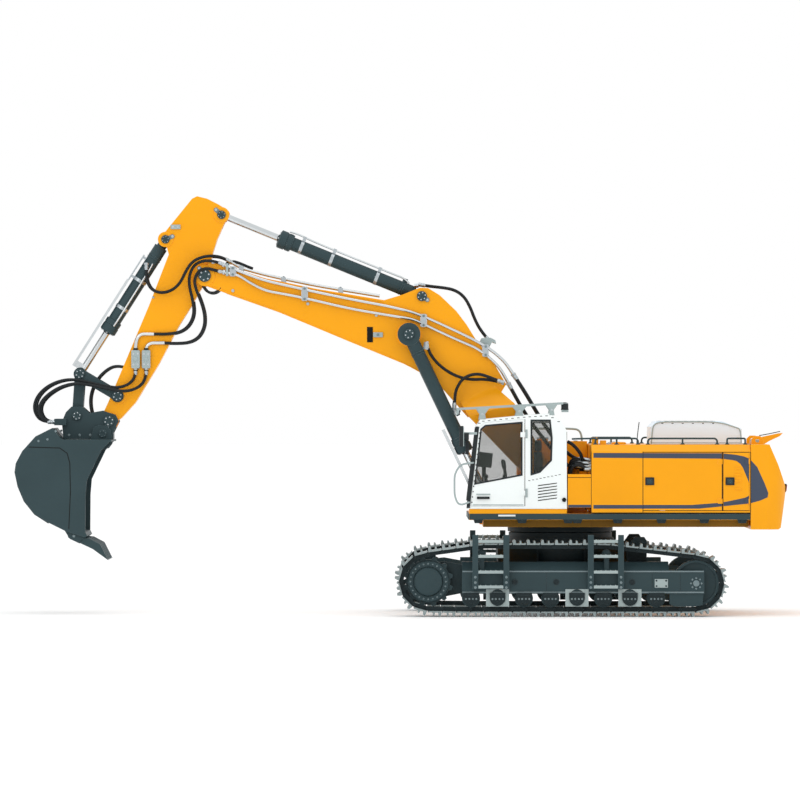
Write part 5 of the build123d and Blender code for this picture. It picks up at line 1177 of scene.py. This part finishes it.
def stick_trim():
    """Valve faces, caps and bolts, bosses and brackets on the stick."""
    valve = Trim("stick_valve_faces", GREY_PAINT, "stick", 0.4)
    caps = Trim("stick_valve_caps", PLASTIC, "stick", 0.3)
    bolts = Trim("stick_bolts", ZINC, "stick")
    grey = Trim("stick_brackets", GREY_PAINT, "stick", 0.4)
    boss = Trim("stick_bosses", YELLOW_PAINT, "stick", turn=25)
    low, high, cut = 300.9, 323.1, 1.6
    for x in (-521.5, -508.5):
        outline = [(5.2, low + cut), (5.2, high - cut), (3.8, high), (-3.8, high), (-5.2, high - cut),
                   (-5.2, low + cut), (-3.8, low), (3.8, low)]
        valve.plate([(x + out, z) for out, z in outline], 15.2, 20.7)
        for z in (305.5, 318.5):
            for shift in (-2.6, 2.6):
                bolts.bolt((x + shift, 20.6, z), 0.85)
        valve.turned((x, 20.5, 312), [(0, 2.8), (0.8, 2.8), (1.2, 2.0)], 20)
        caps.turned((x, 17.5, 301.2), [(0, 3.0), (3.4, 3.0)], 6, (0, 0, -1))
        caps.turned((x, 17.5, 322.8), [(0, 2.9), (3.0, 2.9)], 6, UP)
    grey.box((-478.6, 14.8, 471.7), (-466.5, 17.4, 477.2))
    for x in (-475.6, -469.6):
        bolts.bolt((x, 17.3, 474.4), 1.0)
    grey.turned((-500, 14.9, 388), [(0, 1.5), (0.9, 1.5), (1.3, 0.8)], 16)
    bosses = (("rod", 9.6, 0.9), ("curl", 9.4, 0.9), ("rocker", 9.8, 0.8), ("bucket", 11.0, 0.7))
    for key, radius, out in bosses:
        profile = [(-0.3, radius), (out, radius), (out + 0.4, radius - 0.8), (out + 0.4, radius * 0.55)]
        boss.turned((PIVOT[key][0], 14.9, PIVOT[key][1]), profile, 40)
    done(valve, caps, bolts, grey, boss)


CUTTER_LINE = [(-650, 204.6), (-612, 203.4), (-603, 197), (-599.8, 185), (-599, 150), (-601, 105)]
EAR = [(-573, 229), (-566, 231.5), (-557, 230.5), (-551.6, 225), (-550.6, 216), (-551.8, 208), (-556, 202.6),
       (-562, 201.4), (-570, 207), (-576, 214)]
RIB = [(-622.6, 226.6), (-642.9, 216.8), (-658.9, 199.6), (-666.9, 184.6), (-668.4, 173.6), (-664.7, 156.0),
       (-657.2, 138.2), (-644.4, 122.0), (-627, 110.8), (-625, 115), (-641.5, 125.5), (-653.5, 140.5), (-661, 157),
       (-664.5, 173.7), (-663, 183), (-655, 197), (-640, 212), (-620, 223)]
ADAPTER = [(-607, 103.6), (-600, 92.4), (-588, 86.8), (-586, 91.5), (-581, 95.4), (-583, 101.5), (-600, 106.2)]


def bucket_trim():
    """Ears on the coupler, and the bucket's side lines, wear ribs, tooth adapters and bolts."""
    ears = Trim("bucket_ears", SLATE_PAINT, "bucket", 0.5)
    bolts = Trim("bucket_bolts", SLATE_HIGHLIT, "bucket")
    ribs = Trim("bucket_ribs", SLATE_PAINT, "bucket", 0.4, sides=AS_GIVEN)
    groove = Trim("bucket_side_lines", GAP_DARK, "bucket")
    ears.plate(EAR, 20.2, 24.6)
    pin_head(ears, bolts, (-561.7, 220.6), 24.6, 5.2)
    for start, end in zip(CUTTER_LINE, CUTTER_LINE[1:]):
        a, b = Vector(start), Vector(end)
        way = (b - a).normalized()
        wide = Vector((-way.y, way.x)) * 0.5
        groove.plate([tuple(a + wide), tuple(b + wide), tuple(b - wide), tuple(a - wide)], 65.8, 66.14)
    for x, z in ((-638, 212), (-627, 214), (-617, 224)):
        bolts.bolt((x, 65.9, z), 1.0)
    for x in (-603, -590, -577, -560):
        bolts.bolt((x, 19.9, 219), 1.1)
    for y in (-45, -15, 15, 45):
        ribs.plate(RIB, y - 3, y + 3)
    for k in range(5):
        y = -55 + 27.5 * k
        ribs.plate(ADAPTER, y - 7.4, y + 7.4)
        for face, toward in ((y + 7.3, (0, 1, 0)), (y - 7.3, (0, -1, 0))):
            bolts.bolt((-595, face, 96), 1.2, toward, AS_GIVEN)
    done(ears, groove, ribs, bolts)


# ---- stage, light and camera ----
def build_stage():
    """Pale floor just under the tracks, in metres, bright enough to meet the white surroundings."""
    shape = bmesh.new()
    half, below = 30.0, -0.0002
    corners = ((-half, -half), (half, -half), (half, half), (-half, half))
    shape.faces.new([shape.verts.new((x, y, below)) for x, y in corners])
    mesh = bpy.data.meshes.new("studio_floor")
    shape.to_mesh(mesh)
    shape.free()
    card = finish_material("floor_card", linear(253, 253, 253), 0.9, spread=0.002, depth=0.0)
    shader = card.node_tree.nodes["Principled BSDF"]
    shader.inputs["Emission Color"].default_value = (1.0, 1.0, 1.0, 1.0)
    shader.inputs["Emission Strength"].default_value = 0.07
    mesh.materials.append(card)
    link_object("studio_floor", mesh)


def area_light(name, spot, target, size, power):
    data = bpy.data.lights.new(name, "AREA")
    data.shape = "DISK"
    data.size = size
    data.energy = power
    light = link_object(name, data)
    light.location = spot
    light.rotation_euler = (Vector(target) - Vector(spot)).to_track_quat("-Z", "Y").to_euler()


def build_lights():
    """White surroundings and two soft lamps, from above and from the cab side (metres and watts)."""
    world = bpy.data.worlds.new("studio")
    world.use_nodes = True
    background = world.node_tree.nodes["Background"]
    background.inputs["Color"].default_value = (1.0, 1.0, 1.0, 1.0)
    background.inputs["Strength"].default_value = 1.0
    bpy.context.scene.world = world
    middle = (-0.15, 0.0, 0.2)
    area_light("top_light", (-0.3, -0.5, 2.2), middle, 1.6, 6.0)
    area_light("side_light", (-1.4, -2.0, 1.3), middle, 1.2, 5.0)


def build_camera():
    """Level side view of the cab side, from far away."""
    data = bpy.data.cameras.new("side_camera")
    data.sensor_width = 36.0
    distance, width = 8.0, 0.984
    data.lens = data.sensor_width * distance / width
    camera = link_object("side_camera", data)
    camera.location = (-0.197, -distance, 0.262)
    camera.rotation_euler = (math.radians(90), 0, 0)
    data.clip_start, data.clip_end = 0.5, 100.0
    bpy.context.scene.camera = camera


dress_nodes()
build_hoses()
roller_caps()
frame_trim()
sprocket_covers()
ladder_trim()
chain_covers()
stripes()
door_trim()
side_seams()
deck_edges()
deck_top()
pump_bundle()
cab_gaskets()
cab_rivets()
cab_fittings()
roof_guard()
cab_lamps()
cab_inside()
pin_heads()
cylinder_trim()
cylinder_pipes()
boom_trim()
stick_trim()
bucket_trim()
rear_and_right()
build_stage()
build_lights()
build_camera()
bpy.context.scene.view_settings.view_transform = "Standard"
